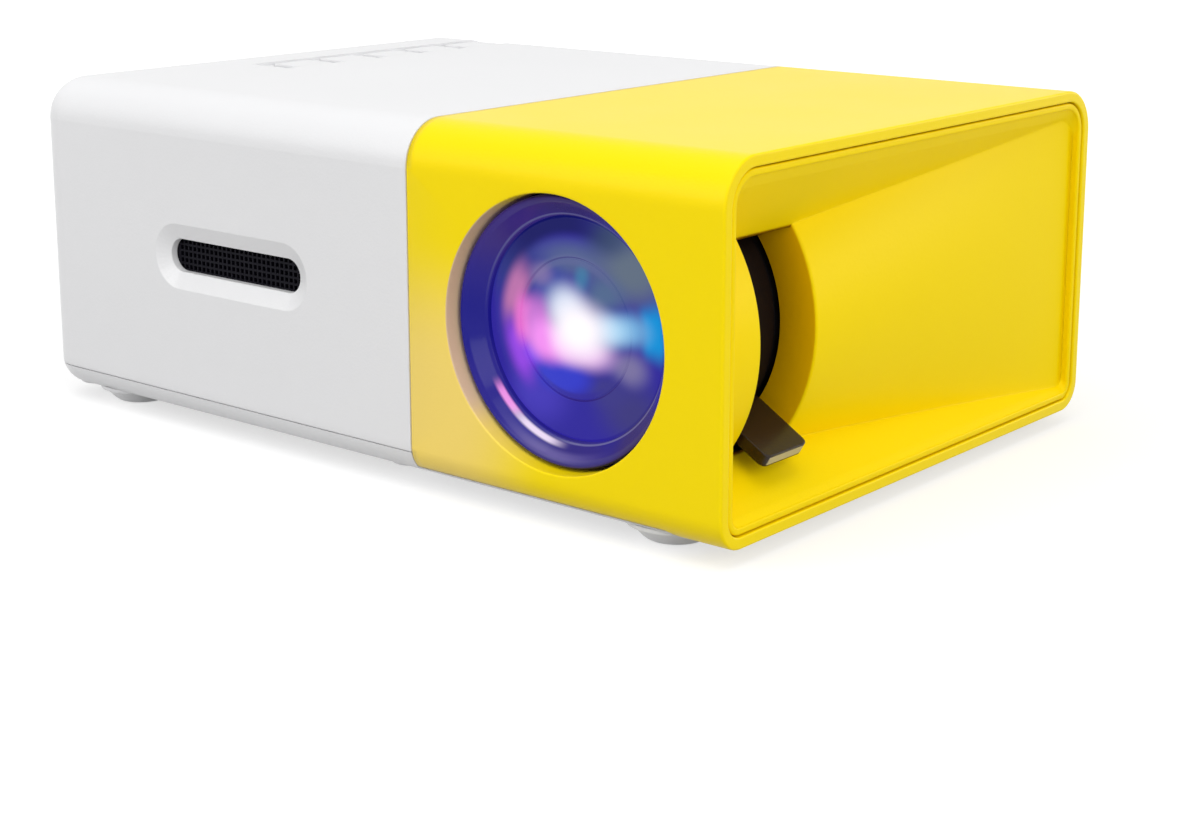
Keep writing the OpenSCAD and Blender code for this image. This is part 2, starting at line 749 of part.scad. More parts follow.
module focus_ring() color(black) {
  groove_r = 1.35;
  difference() {
    lens_bar(ring_y0, ring_y1, ring_out);
    lens_bar(ring_y0 - 1, ring_y1 + 1, ring_in);
    for (a = pin_angles, i = [0 : groove_steps]) {
      t = i / groove_steps;
      round_lens(a - focus_turn * t, pin_y + lens_travel * t)
        translate([ring_in - 1, 0, 0]) rotate([0, 90, 0]) cylinder(h = 2.1, r = groove_r, $fn = 32);
    }
    // slot that the lever is set in
    round_lens(-lever_drop, lever_y) translate([lever_x, 0, -lever_t / 2]) cube([3, lever_w, lever_t]);
  }
}

module focus_lever() color(dark) {
  corner = 1;
  round_lens(-lever_drop, lever_y) translate([0, 0, -lever_t / 2]) linear_extrude(lever_t) {
    translate([lever_x, 0]) square([lever_reach - corner - lever_x, lever_w]);
    translate([lever_reach - corner - e, corner]) square([corner + e, lever_w - 2 * corner]);
    for (y = [corner, lever_w - corner]) translate([lever_reach - corner, y]) circle(r = corner);
  }
}

module lens_barrel() color(black) {
  y0 = bezel_y;
  y1 = bezel_y + bezel_t;
  shelf_y = y0 + seat;
  stop_y = shelf_y + 2.2;
  difference() {
    lens_turn() polygon([
      [bezel_r - 0.3, y0], [bezel_r, y0 + 0.3], [bezel_r, y1], [barrel_r, y1],
      [barrel_r, barrel_end], [barrel_in, barrel_end], [barrel_in, stop_y + 1.2], [stop_r, stop_y + 1.2],
      [stop_r, stop_y + 0.8], [barrel_in, stop_y - 1], [barrel_in, shelf_y], [glass_r, shelf_y],
      [glass_r, y0 + funnel + 0.2], [glass_r + 0.25, y0 + funnel], [bezel_r - 0.7, y0 + 0.15]]);
    for (a = pin_angles) round_lens(a, pin_y)
      translate([barrel_in - 1, 0, 0]) rotate([0, 90, 0]) cylinder(h = 3, r = pin_r);
  }
}

// Points of a shallow arc that bulges by bulge at the middle of a lens of radius r
function lens_arc(r, bulge, steps = 14) =
  let (rs = (r * r + bulge * bulge) / (2 * bulge), half = asin(r / rs))
  [for (i = [0 : steps]) let (a = half * i / steps) [rs * sin(a), rs * cos(a) - rs + bulge]];

// Profile of a lens, (radius, height), flat at 0, with a rim edge high under its bulge
module lens_profile(r, edge, bulge) {
  polygon(concat([[0, 0]], [for (p = lens_arc(r, bulge)) [p[0], edge + p[1]]], [[r, 0]]));
}

// Lens with its flat rear face at y1 and its bulge towards the front
module bulged_lens(y1, r, edge, bulge) {
  translate([lens_x, y1, lens_z]) rotate([90, 0, 0]) rotate_extrude() lens_profile(r, edge, bulge);
}

// Front lens: a flat rim round a raised eye, with a fine groove between them
module front_lens() color(glass, 0.5) {
  rim = 1.3;
  groove = 0.25;
  dome = [for (p = lens_arc(eye_r, 0.9)) [p[0], rim + p[1]]];
  translate([lens_x, bezel_y + seat, lens_z]) rotate([90, 0, 0]) rotate_extrude()
    polygon(concat([[0, 0]], dome, [[eye_r, rim - groove], [eye_r + 0.2, rim - groove], [eye_r + 0.2, rim],
                                    [glass_r - 0.02, rim - 0.1], [glass_r - 0.02, 0]]));
}

module middle_lens() color(glass, 0.5) bulged_lens(bezel_y + seat + 7.4, barrel_in - 0.02, 1.6, 2.2);
module rear_lens() color(glass, 0.5) bulged_lens(barrel_end - 1.6, barrel_in - 0.02, 2, 2.6);

module lens_retainer() color(black) difference() {
  lens_bar(barrel_end - 1.6, barrel_end - 0.4, barrel_in);
  lens_bar(barrel_end - 2, barrel_end, barrel_in - 1.6);
}

module cam_followers() color(brass) {
  for (a = pin_angles) round_lens(a, pin_y) translate([barrel_in + 0.3, 0, 0]) rotate([0, 90, 0])
    cylinder(h = ring_in + 0.8 - barrel_in - 0.3, r = pin_r);
}

// ---------- light engine ----------

// Plan of the engine's inside in (X, Y), grown by grow
module engine_plan(grow) {
  back = (lens_x + opt_y) + (mirror_t + grow) * sqrt(2);   // mirror's back is where X + Y equals this
  ry0 = engine_y0 + eng_wall - grow;
  ry1 = opt_y + lcd_hw + grow;
  rx1 = room_x1 - eng_wall + grow;
  translate([tunnel_x0 + eng_wall - grow, opt_y - tunnel_hw - grow])
    square([room_x0 - tunnel_x0, 2 * (tunnel_hw + grow)]);
  translate([lcd_x0 + eng_wall - grow, opt_y - lcd_hw - grow])
    square([room_x0 - lcd_x0 - eng_wall + 2 * grow, 2 * (lcd_hw + grow)]);
  polygon([[room_x0 - 2, ry0], [rx1, ry0], [rx1, back - rx1], [back - ry1, ry1], [room_x0 - 2, ry1]]);
}

module engine_case() color(black) {
  difference() {
    translate([0, 0, eng_z0]) linear_extrude(eng_h - eng_wall) engine_plan(eng_wall);
    translate([0, 0, eng_z0 + eng_wall]) linear_extrude(eng_h) engine_plan(0);
    lens_bar(engine_y0 - 1, engine_y0 + eng_wall + 1, mount_in);
    path_bar(tunnel_x0 - 1, tunnel_x0 + eng_wall + 1, 12);
  }
  // ribs that hold the flat optics by their edges
  for (x = [front_fresnel_x + fresnel_t, lcd_x + lcd_t, rear_fresnel_x + fresnel_t]) optic_rib(x, lcd_hw);
  for (x = [heat_x - rib_t, heat_x + heat_t]) optic_rib(x, tunnel_hw);
}

// Pair of upright ribs beside a flat optic
module optic_rib(x, hw) {
  for (s = [-1, 1]) translate([x, opt_y + s * (hw - 0.9) - 1, eng_z0 + eng_wall - e])
    cube([rib_t, 2, optic_h - 1]);
}

module engine_lid() color(black) {
  translate([0, 0, eng_z1 - eng_wall]) linear_extrude(eng_wall) engine_plan(eng_wall);
}

module mirror() color(steel) {
  translate([lens_x, opt_y, lens_z - optic_h / 2]) rotate([0, 0, -45])
    translate([-mirror_far, 0, 0]) cube([mirror_far + mirror_near, mirror_t, optic_h - e]);
}

module flat_optic(x, t, w) {
  path_block(x, x + t, w, optic_h - 0.1);
}

module lcd_panel() {
  color(dark) difference() {
    flat_optic(lcd_x, lcd_t, 2 * lcd_hw - 0.4);
    path_block(lcd_x - 1, lcd_x + lcd_t + 1, picture_w, picture_h);
  }
  color(glass, 0.6) path_block(lcd_x + 0.6, lcd_x + 1.6, picture_w, picture_h);
}

module front_fresnel() color(glass, 0.5) flat_optic(front_fresnel_x, fresnel_t, 2 * lcd_hw - 0.4);
module rear_fresnel() color(glass, 0.5) flat_optic(rear_fresnel_x, fresnel_t, 2 * lcd_hw - 0.4);
module heat_glass() color(glass, 0.5) flat_optic(heat_x, heat_t, 2 * tunnel_hw - 0.4);

module condenser_lens() color(glass, 0.5) {
  x0 = tunnel_x0 + 7;
  translate([x0, opt_y, lens_z]) rotate([0, 90, 0]) rotate_extrude() lens_profile(condenser_r, 2, 5);
  // square flange moulded round the lens, held by the case
  difference() {
    path_block(x0, x0 + 1.6, 2 * tunnel_hw - 0.2, optic_h - 0.1);
    path_bar(x0 - 1, x0 + 3, condenser_r - 0.3);
  }
}

module led_board() color(steel) path_block(led_x, led_x + led_t, led_board_w, 30);

module led_emitter() {
  color([0.95, 0.85, 0.3]) path_block(led_x + led_t, led_x + led_t + 0.8, 13, 13);
  color(glass, 0.6) translate([led_x + led_t + 0.8, opt_y, lens_z]) rotate([0, 90, 0])
    cylinder(h = 1.6, r1 = 6, r2 = 4.4);
}

// ---------- cooling ----------

module heatsink() color(steel) {
  fin_t = 1.1;
  pitch = (sink_size - fin_t) / (fins - 1);
  path_block(led_x - sink_base, led_x, sink_size, sink_h, sink_y);
  for (i = [0 : fins - 1]) {
    translate([sink_x0, sink_y - sink_size / 2 + i * pitch, lens_z - sink_h / 2])
      cube([fin_l + e, fin_t, sink_h]);
  }
}

module fan_frame() color(black) {
  hub_r = 8;
  difference() {
    path_block(fan_x0, fan_x0 + fan_t, fan_size, fan_size, fan_y);
    path_bar(fan_x0 - 1, fan_x0 + fan_t + 1, fan_size / 2 - 0.9, fan_y);
    for (i = [-1, 1], j = [-1, 1]) translate([0, i * (fan_size / 2 - 2.4), j * (fan_size / 2 - 2.4)])
      path_bar(fan_x0 - 1, fan_x0 + fan_t + 1, 1.2, fan_y);
  }
  path_bar(fan_x0 + fan_t - 1.6, fan_x0 + fan_t, hub_r, fan_y);
  for (a = [45 : 90 : 315]) {
    translate([fan_x0 + fan_t - 1.6, fan_y, lens_z]) rotate([a, 0, 0])
      translate([0, hub_r - 1, -0.9]) cube([1.6, fan_size / 2 - hub_r + 0.4, 1.8]);
  }
  // bearing pin that the rotor turns on
  path_bar(fan_x0 + 2.5, fan_x0 + fan_t - 1.5, 1.5, fan_y);
}

module fan_rotor() color(dark) {
  hub_r = 8;
  x0 = fan_x0 + 0.8;
  x1 = fan_x0 + fan_t - 2.2;
  tip_r = fan_size / 2 - 1.8;
  difference() {
    path_bar(x0, x1, hub_r, fan_y);
    path_bar(fan_x0 + 2.2, x1 + 1, 1.5 + run_gap, fan_y);
  }
  intersection() {
    difference() {
      path_bar(x0, x1, tip_r, fan_y);
      path_bar(x0 - 1, x1 + 1, hub_r - 0.4, fan_y);
    }
    translate([(x0 + x1) / 2, fan_y, lens_z]) for (i = [0 : blades - 1]) {
      rotate([i * 360 / blades, 0, 0]) translate([0, hub_r - 1, 0]) rotate([0, 38, 0])
        translate([-6, 0, -0.5]) cube([12, tip_r, 1]);
    }
  }
}

// ---------- board and sockets ----------

module main_board() color(board_green) {
  translate([board_x0, board_y0, board_z0]) cube([board_x1 - board_x0, board_t, board_z1 - board_z0]);
}

module board_parts() color(dark) {
  chip_z = board_z1 - 9;
  translate([ear_x - 5, board_y1, chip_z - 3]) cube([9, 1.4, 9]);
  translate([inlet_x - 4, board_y1, chip_z - 1]) cube([6, 1.2, 5]);
  translate([av_x + 0.3, board_y1, board_z0 + 0.6]) cube([8, 1.2, 4.6]);
  for (i = [-1 : 1]) translate([hdmi_x + i * 5.2, board_y1, port_z - 6.5]) rotate([-90, 0, 0])
    cylinder(h = 5.5, r = 2.2);
}

// Open shell of a socket, w by h outside, with its mouth at the rear of the case
module socket_shell(x, z, w, h, r) {
  y1 = y_b - 0.6;
  along_y(board_y1, y1) translate([x, z]) difference() {
    round_rect(w, h, r);
    round_rect(w - 0.8, h - 0.8, max(r - 0.4, 0.1));
  }
  along_y(board_y1, board_y1 + 3) translate([x, z]) round_rect(w - 0.4, h - 0.4, max(r - 0.2, 0.1));
}

module hdmi_socket() {
  color(steel) socket_shell(hdmi_x, port_z, 15, 5.6, 0.6);
  color(black) translate([hdmi_x - 5.6, board_y1 + 2, port_z + 0.3]) cube([11.2, socket_d - 4, 1]);
}

module usb_socket() {
  color(steel) socket_shell(hdmi_x, usb_z, 13.1, 5.7, 0.3);
  color(black) translate([hdmi_x - 5.6, board_y1 + 2, usb_z - 0.2]) cube([11.2, socket_d - 3.6, 1.8]);
}

module card_socket() color(steel) {
  along_y(board_y1, y_b - wall) translate([hdmi_x, upper_z]) difference() {
    round_rect(14, 2.6, 0.3);
    square([11.4, 1.2], center = true);
  }
}

// Round audio jack with its bore open at the rear
module jack(x) {
  difference() {
    union() {
      translate([x - 3.6, board_y1, port_z - 3.6]) cube([7.2, socket_d, 7.2]);
      translate([x, y_b - wall - e, port_z]) rotate([-90, 0, 0]) cylinder(h = wall - 0.4, r = 3);
    }
    translate([x, board_y1 + 2, port_z]) rotate([-90, 0, 0]) cylinder(h = socket_d + wall, r = jack_r);
  }
}

module av_jack() color([0.85, 0.8, 0.2]) jack(av_x);
module earphone_jack() color(black) jack(ear_x);

module power_inlet() color(black) {
  difference() {
    union() {
      translate([inlet_x - 4.5, board_y1, port_z - 5]) cube([9, socket_d, 10]);
      translate([inlet_x, y_b - wall - e, port_z]) rotate([-90, 0, 0]) cylinder(h = wall - 0.4, r = 4);
    }
    translate([inlet_x, board_y1 + 3.5, port_z]) rotate([-90, 0, 0]) cylinder(h = socket_d + wall, r = inlet_r);
  }
  translate([inlet_x, board_y1 + 3, port_z]) rotate([-90, 0, 0]) cylinder(h = socket_d - 3.6, r = 1);
}

module infrared_receiver() color(dark) {
  translate([av_x - 2.8, board_y1, upper_z - 3.4]) cube([5.6, socket_d, 6.8]);
  translate([av_x, y_b - wall - e, upper_z]) rotate([-90, 0, 0]) cylinder(h = wall - 0.3, r = 2.5);
}

// ---------- fasteners ----------

module tripod_insert() color(brass) translate([tripod_x, tripod_y, z_lo + 0.2]) difference() {
  cylinder(h = tripod_h - 0.2, r = 4.6);
  translate([0, 0, -1]) cylinder(h = tripod_h + 2, r = tripod_r);
}

module case_screws() color(steel) for (p = concat(case_posts, sleeve_posts)) {
  translate([p[0], p[1], z_lo + 2]) {
    difference() {
      translate([0, 0, -1.4]) cylinder(h = 1.4, r = 2.3);
      for (a = [0, 90]) rotate([0, 0, a]) translate([-1.4, -0.3, -1.5]) cube([2.8, 0.6, 0.8]);
    }
    translate([0, 0, -e]) cylinder(h = 12, r = screw_r);
  }
}

top_housing();
bottom_cover();
yellow_sleeve();
side_scoop();
front_mesh();
key_1();
key_2();
key_3();
key_4();
key_5();
keypad_board();
focus_ring();
focus_lever();
lens_mount();
lens_barrel();
front_lens();
middle_lens();
rear_lens();
lens_retainer();
cam_followers();
engine_case();
engine_lid();
mirror();
lcd_panel();
front_fresnel();
rear_fresnel();
heat_glass();
condenser_lens();
led_board();
led_emitter();
heatsink();
fan_frame();
fan_rotor();
main_board();
board_parts();
hdmi_socket();
usb_socket();
card_socket();
av_jack();
earphone_jack();
power_inlet();
infrared_receiver();
speaker_frame();
speaker_cone();
speaker_magnet();
tripod_insert();
case_screws();
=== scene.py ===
# %% [markdown]
# # A small home projector
# The case, its lens barrel, the focus lever and every hidden piece come from the CAD model, which
# loads as a fixed frame in metres: +Z is up, -Y is the front with the lens and +X is the end with
# the scoop. This lesson gives each piece its finish, and makes new surfaces where the looks need
# more than the CAD solid has, such as the glass of the lens.

import math

import bmesh
import bpy
import numpy as np
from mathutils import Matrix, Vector


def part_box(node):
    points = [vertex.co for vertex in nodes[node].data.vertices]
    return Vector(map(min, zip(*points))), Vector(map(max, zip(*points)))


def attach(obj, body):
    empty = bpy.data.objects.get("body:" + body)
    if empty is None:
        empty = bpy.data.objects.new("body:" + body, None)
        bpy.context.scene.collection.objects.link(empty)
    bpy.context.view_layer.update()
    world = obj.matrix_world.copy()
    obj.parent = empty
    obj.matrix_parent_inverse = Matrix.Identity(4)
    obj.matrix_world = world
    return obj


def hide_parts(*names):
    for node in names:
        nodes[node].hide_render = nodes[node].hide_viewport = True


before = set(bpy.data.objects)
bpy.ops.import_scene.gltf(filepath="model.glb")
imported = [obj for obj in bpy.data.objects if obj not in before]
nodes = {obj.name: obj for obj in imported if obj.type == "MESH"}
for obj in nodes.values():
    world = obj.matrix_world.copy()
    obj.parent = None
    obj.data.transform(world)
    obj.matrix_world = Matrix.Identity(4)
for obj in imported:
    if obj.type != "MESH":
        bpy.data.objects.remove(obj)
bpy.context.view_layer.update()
MM = 0.001  # one millimetre in metres

# %% [markdown]
# ## The camera
# The camera stands in front of the case and to its right, a little above it, with a fairly long
# lens so that the far edges stay nearly parallel. Its three axes are worked out from an azimuth
# and an elevation, and a small vertical shift frames the case without tilting the camera.

# %% Camera
view_azimuth = math.radians(39.68)
view_elevation = math.radians(12.51)
stand_point = Vector((0.20017, -0.22997, 0.08364))

camera_data = bpy.data.cameras.new("camera")
camera_data.sensor_width = 36
camera_data.lens = 64.08
camera_data.shift_y = -0.0952
camera_data.clip_start = 0.01
camera_data.clip_end = 20
camera = bpy.data.objects.new("camera", camera_data)
back = Vector((math.sin(view_azimuth) * math.cos(view_elevation),
               -math.cos(view_azimuth) * math.cos(view_elevation),
               math.sin(view_elevation)))
camera.rotation_mode = "QUATERNION"
camera.location = stand_point
camera.rotation_quaternion = (-back).to_track_quat("-Z", "Y")
bpy.context.scene.collection.objects.link(camera)
bpy.context.scene.camera = camera
print("camera at", tuple(round(v, 3) for v in camera.location))

# %% [markdown]
# ## Light and floor
# Small products are usually lit by big soft boxes. One hangs over the case, so the top is the
# brightest side, one stands in front and to the left, one lights the scoop end, and a low one
# behind the case keeps the rear from going dark. The sky is a plain pale grey that lights
# everything evenly. Only the camera, and rays that come off gloss or glass, see it as pure white.
# The floor's paper makes the same choice, so the choice of rays is a helper.

# %% Sky
WHITE = (1, 1, 1, 1)
sky_strength, seen_strength = 0.46, 1.0


def seen_plainly(tree):
    """A socket that is 1 for rays from the camera, off gloss or through glass, and 0 for others:
    the largest of the three flags of the Light Path node."""
    ray = tree.nodes.new("ShaderNodeLightPath")
    flag = ray.outputs["Is Camera Ray"]
    for name in ("Is Glossy Ray", "Is Transmission Ray"):
        largest = tree.nodes.new("ShaderNodeMath")
        largest.operation = "MAXIMUM"
        tree.links.new(flag, largest.inputs[0])
        tree.links.new(ray.outputs[name], largest.inputs[1])
        flag = largest.outputs[0]
    return flag


scene = bpy.context.scene
scene.view_settings.view_transform = "Standard"
sky = bpy.data.worlds.new("sky")
scene.world = sky
sky.use_nodes = True
tree = sky.node_tree
tree.nodes.clear()
choose = tree.nodes.new("ShaderNodeMixShader")
tree.links.new(seen_plainly(tree), choose.inputs["Fac"])
for socket, strength in zip(choose.inputs[1:], (sky_strength, seen_strength)):
    shade = tree.nodes.new("ShaderNodeBackground")
    shade.inputs["Color"].default_value = WHITE
    shade.inputs["Strength"].default_value = strength
    tree.links.new(shade.outputs[0], socket)
sky_out = tree.nodes.new("ShaderNodeOutputWorld")
tree.links.new(choose.outputs[0], sky_out.inputs["Surface"])
print("sky strength:", sky_strength, "and", seen_strength, "where it is seen")

# %% Soft boxes
def soft_box(name, place, aim, size, power):
    """A rectangular area lamp of the given size and watts that faces the point it aims at."""
    data = bpy.data.lights.new(name, "AREA")
    data.shape = "RECTANGLE"
    data.size, data.size_y = size
    data.energy = power
    lamp = bpy.data.objects.new(name, data)
    lamp.location = place
    lamp.rotation_mode = "QUATERNION"
    lamp.rotation_quaternion = (Vector(aim) - Vector(place)).to_track_quat("-Z", "Y")
    scene.collection.objects.link(lamp)


soft_box("top_box", (0.05, -0.22, 0.75), (0, 0, 0.03), (0.7, 0.6), 2.7)
soft_box("front_box", (-0.35, -0.75, 0.42), (0, -0.02, 0.03), (0.6, 0.5), 2.15)
soft_box("end_box", (0.72, -0.28, 0.34), (0.06, 0, 0.03), (0.5, 0.5), 2.25)
soft_box("rear_box", (0.42, 0.75, 0.14), (0, 0.02, 0.03), (0.5, 0.24), 1.3)

# %% Floor
floor_half, floor_level = 6.0, -0.0001
floor_mesh = bpy.data.meshes.new("floor")
floor_mesh.from_pydata([(x * floor_half, y * floor_half, floor_level)
                        for x, y in ((-1, -1), (1, -1), (1, 1), (-1, 1))], [], [(0, 1, 2, 3)])
floor = bpy.data.objects.new("floor", floor_mesh)
scene.collection.objects.link(floor)
print("floor:", 2 * floor_half, "m wide")

# %% [markdown]
# ## Finishes that several materials share
# Moulded plastic is never perfectly smooth. The steel mould is spark-eroded or only roughly
# polished, so the surface has a very fine grain that breaks up the gloss, and the gloss itself
# drifts a little from place to place. Every edge is slightly round, and that thin round edge
# catches the light. An image of the grain would need unwrapped surfaces. Noise in Object
# coordinates doesn't, and one node group holds all three effects, so each material can use them
# with its own values.

# %% Node group helper
def new_group(name, inputs, outputs):
    """A shader node group: inputs are (name, default) of numbers, outputs are (name, type)."""
    group = bpy.data.node_groups.new(name, "ShaderNodeTree")
    for socket, default in inputs:
        made = group.interface.new_socket(name=socket, in_out="INPUT",
                                          socket_type="NodeSocketFloat")
        made.default_value = default
    for socket, kind in outputs:
        group.interface.new_socket(name=socket, in_out="OUTPUT", socket_type=kind)
    entry = group.nodes.new("NodeGroupInput")
    leave = group.nodes.new("NodeGroupOutput")
    return group, entry, leave


# %% Moulded grain
grain, entry, leave = new_group(
    "moulded_grain",
    [("Scale", 2600.0), ("Depth", 0.00002), ("Edge", 0.0002)],
    [("Normal", "NodeSocketVector"), ("Gloss", "NodeSocketFloat"), ("Tone", "NodeSocketFloat")])
n, link = grain.nodes, grain.links.new
place = n.new("ShaderNodeTexCoord")
fine = n.new("ShaderNodeTexNoise")
fine.inputs["Detail"].default_value = 2.0
link(place.outputs["Object"], fine.inputs["Vector"])
link(entry.outputs["Scale"], fine.inputs["Scale"])
edge = n.new("ShaderNodeBevel")
edge.samples = 6
link(entry.outputs["Edge"], edge.inputs["Radius"])
bump = n.new("ShaderNodeBump")
bump.inputs["Strength"].default_value = 1.0
link(entry.outputs["Depth"], bump.inputs["Distance"])
link(fine.outputs["Fac"], bump.inputs["Height"])
link(edge.outputs["Normal"], bump.inputs["Normal"])
link(bump.outputs["Normal"], leave.inputs["Normal"])
drift = n.new("ShaderNodeTexNoise")
drift.inputs["Scale"].default_value = 45.0
drift.inputs["Detail"].default_value = 3.0
link(place.outputs["Object"], drift.inputs["Vector"])
link(drift.outputs["Fac"], leave.inputs["Gloss"])
blotch = n.new("ShaderNodeTexNoise")
blotch.inputs["Scale"].default_value = 14.0
link(place.outputs["Object"], blotch.inputs["Vector"])
link(blotch.outputs["Fac"], leave.inputs["Tone"])
print("group", grain.name, [s.name for s in grain.interface.items_tree])


# %% A moulded or metal material
COAT_ROUGH, PLASTIC_IOR = 0.05, 1.5


def finish(name, colour, rough, grain_scale=2600.0, depth=0.00002, edge_r=0.0002, spread=0.04,
           tone=0.03, metallic=0.0, coat=0.0, specular=0.5):
    """A Principled material: over its surface the roughness drifts by spread and the colour by
    tone. The grain's depth and the radius of its round edges are in metres."""
    mat = bpy.data.materials.new(name)
    mat.use_nodes = True
    tree = mat.node_tree
    shader = tree.nodes["Principled BSDF"]
    skin = tree.nodes.new("ShaderNodeGroup")
    skin.node_tree = grain
    skin.inputs["Scale"].default_value = grain_scale
    skin.inputs["Depth"].default_value = depth
    skin.inputs["Edge"].default_value = edge_r
    tree.links.new(skin.outputs["Normal"], shader.inputs["Normal"])
    gloss = tree.nodes.new("ShaderNodeMapRange")
    gloss.inputs["To Min"].default_value = rough - spread
    gloss.inputs["To Max"].default_value = rough + spread
    tree.links.new(skin.outputs["Gloss"], gloss.inputs["Value"])
    tree.links.new(gloss.outputs["Result"], shader.inputs["Roughness"])
    shade = tree.nodes.new("ShaderNodeMix")
    shade.data_type = "RGBA"
    shade.inputs["A"].default_value = (*[c * (1 - tone) for c in colour], 1)
    shade.inputs["B"].default_value = (*[min(1.0, c * (1 + tone)) for c in colour], 1)
    tree.links.new(skin.outputs["Tone"], shade.inputs["Factor"])
    tree.links.new(shade.outputs["Result"], shader.inputs["Base Color"])
    shader.inputs["Metallic"].default_value = metallic
    shader.inputs["Coat Weight"].default_value = coat
    shader.inputs["Coat Roughness"].default_value = COAT_ROUGH
    shader.inputs["Specular IOR Level"].default_value = specular
    shader.inputs["IOR"].default_value = PLASTIC_IOR
    return mat


def wear(material, *names):
    """Gives each named CAD node the material."""
    for name in names:
        mesh = nodes[name].data
        mesh.materials.clear()
        mesh.materials.append(material)


# %% [markdown]
# ## The floor's paper
# A pale paper takes the soft shadow under the case. To the camera it also shines a little by
# itself, and more so further away, so it is pure white at a distance and the shadow close to the
# case stays.

# %% Floor material
near_case, far_away = 0.12, 0.7
lift_near, lift_far = 0.62, 0.9

paper = bpy.data.materials.new("paper")
paper.use_nodes = True
tree = paper.node_tree
shader = tree.nodes["Principled BSDF"]
shader.inputs["Base Color"].default_value = (0.45, 0.45, 0.45, 1)
shader.inputs["Roughness"].default_value = 0.9
shader.inputs["Specular IOR Level"].default_value = 0.1
place = tree.nodes.new("ShaderNodeTexCoord")
range_out = tree.nodes.new("ShaderNodeVectorMath")
range_out.operation = "LENGTH"
tree.links.new(place.outputs["Object"], range_out.inputs[0])
rise_out = tree.nodes.new("ShaderNodeMapRange")
for socket, number in (("From Min", near_case), ("From Max", far_away),
                       ("To Min", lift_near), ("To Max", lift_far)):
    rise_out.inputs[socket].default_value = number
tree.links.new(range_out.outputs["Value"], rise_out.inputs["Value"])
lift = tree.nodes.new("ShaderNodeEmission")
tree.links.new(rise_out.outputs["Result"], lift.inputs["Strength"])
nothing = tree.nodes.new("ShaderNodeEmission")
nothing.inputs["Strength"].default_value = 0.0
pick = tree.nodes.new("ShaderNodeMixShader")
tree.links.new(seen_plainly(tree), pick.inputs["Fac"])
tree.links.new(nothing.outputs[0], pick.inputs[1])
tree.links.new(lift.outputs[0], pick.inputs[2])
both = tree.nodes.new("ShaderNodeAddShader")
tree.links.new(shader.outputs[0], both.inputs[0])
tree.links.new(pick.outputs[0], both.inputs[1])
tree.links.new(both.outputs[0], tree.nodes["Material Output"].inputs["Surface"])
floor.data.materials.append(paper)
print("paper shines by itself:", lift_near, "near,", lift_far, "far away")

# %% [markdown]
# ## Plastics, metals and glass
# The case is moulded in white and in a deep yellow. Both are nearly matt, so their gloss is weak
# and the yellow keeps its depth. The hidden pieces get the metals, boards and resins that such
# pieces are made of. All of them are the same Principled material with other numbers, so one
# function makes them.

# %% Plastics and metals
white_plastic = finish("white_plastic", (0.79, 0.79, 0.80), 0.34, coat=0.12)
yellow_plastic = finish("yellow_plastic", (1.0, 0.75, 0.0), 0.34, tone=0.02, coat=0.02,
                        specular=0.1)
scoop_plastic = finish("scoop_plastic", (1.0, 0.73, 0.0), 0.42, tone=0.02, specular=0.07)
black_sheet = finish("black_sheet", (0.003, 0.0025, 0.006), 0.6, specular=0.1, depth=0.00001,
                     edge_r=0.00004)
black_plastic = finish("black_plastic", (0.014, 0.013, 0.015), 0.38)
ring_plastic = finish("ring_plastic", (0.006, 0.003, 0.003), 0.5, specular=0.12)
lever_plastic = finish("lever_plastic", (0.018, 0.009, 0.006), 0.24, edge_r=0.0004, coat=0.1,
                       specular=0.25)
board_mask = finish("board_mask", (0.01, 0.12, 0.05), 0.35, grain_scale=900, coat=0.4)
aluminium = finish("aluminium", (0.8, 0.8, 0.82), 0.3, metallic=1.0)
steel = finish("steel", (0.62, 0.62, 0.64), 0.25, metallic=1.0)
brass = finish("brass", (0.72, 0.5, 0.2), 0.25, metallic=1.0)
epoxy = finish("epoxy", (0.02, 0.02, 0.022), 0.5)
yellow_nylon = finish("yellow_nylon", (0.7, 0.5, 0.02), 0.4)
dark_resin = finish("dark_resin", (0.02, 0.004, 0.006), 0.1, coat=1.0)
paper_cone = finish("paper_cone", (0.03, 0.028, 0.027), 0.85)
phosphor = finish("phosphor", (0.9, 0.7, 0.1), 0.6)
silvering = finish("silvering", (0.93, 0.93, 0.94), 0.05, metallic=1.0, depth=0.0)
panel_glass = finish("panel_glass", (0.02, 0.02, 0.03), 0.08, coat=1.0, depth=0.0)
barrel_gloss = finish("barrel_gloss", (0.02, 0.012, 0.07), 0.2, coat=0.06, depth=0.0, specular=0.12)
clear = finish("clear", (0.95, 0.96, 1.0), 0.05, depth=0.0, spread=0.0, tone=0.0)
clear.node_tree.nodes["Principled BSDF"].inputs["Transmission Weight"].default_value = 1.0
print("materials so far:", len(bpy.data.materials))


# %% [markdown]
# ## Masks for colours that follow the lens
# A lens with a coating and a lamp behind it shows soft patches of colour, and the gloss of the ring
# round it shows bright arcs. Here they are painted light: a painted glow and painted reflections on
# the glass, and painted highlights on the ring. Two node groups make masks for these. The first is
# a round glow: 1 at its centre, falling smoothly to 0 at its edge, stretched by its own width and
# height. The second is an arc: a band of radii and a range of angles about the lens axis, both with
# soft edges. Both read Object coordinates, so they stay on the piece when it moves.

# %% Mask tools
axis_x, axis_z = [sum(c[i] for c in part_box("lens_barrel")) / 2 for i in (0, 2)]


def value_of(tree, operation, first, second=0.0):
    """A Math node; each input is a socket or a plain number."""
    node = tree.nodes.new("ShaderNodeMath")
    node.operation = operation
    for socket, source in zip(node.inputs, (first, second)):
        if isinstance(source, (int, float)):
            socket.default_value = source
        else:
            tree.links.new(source, socket)
    return node.outputs[0]


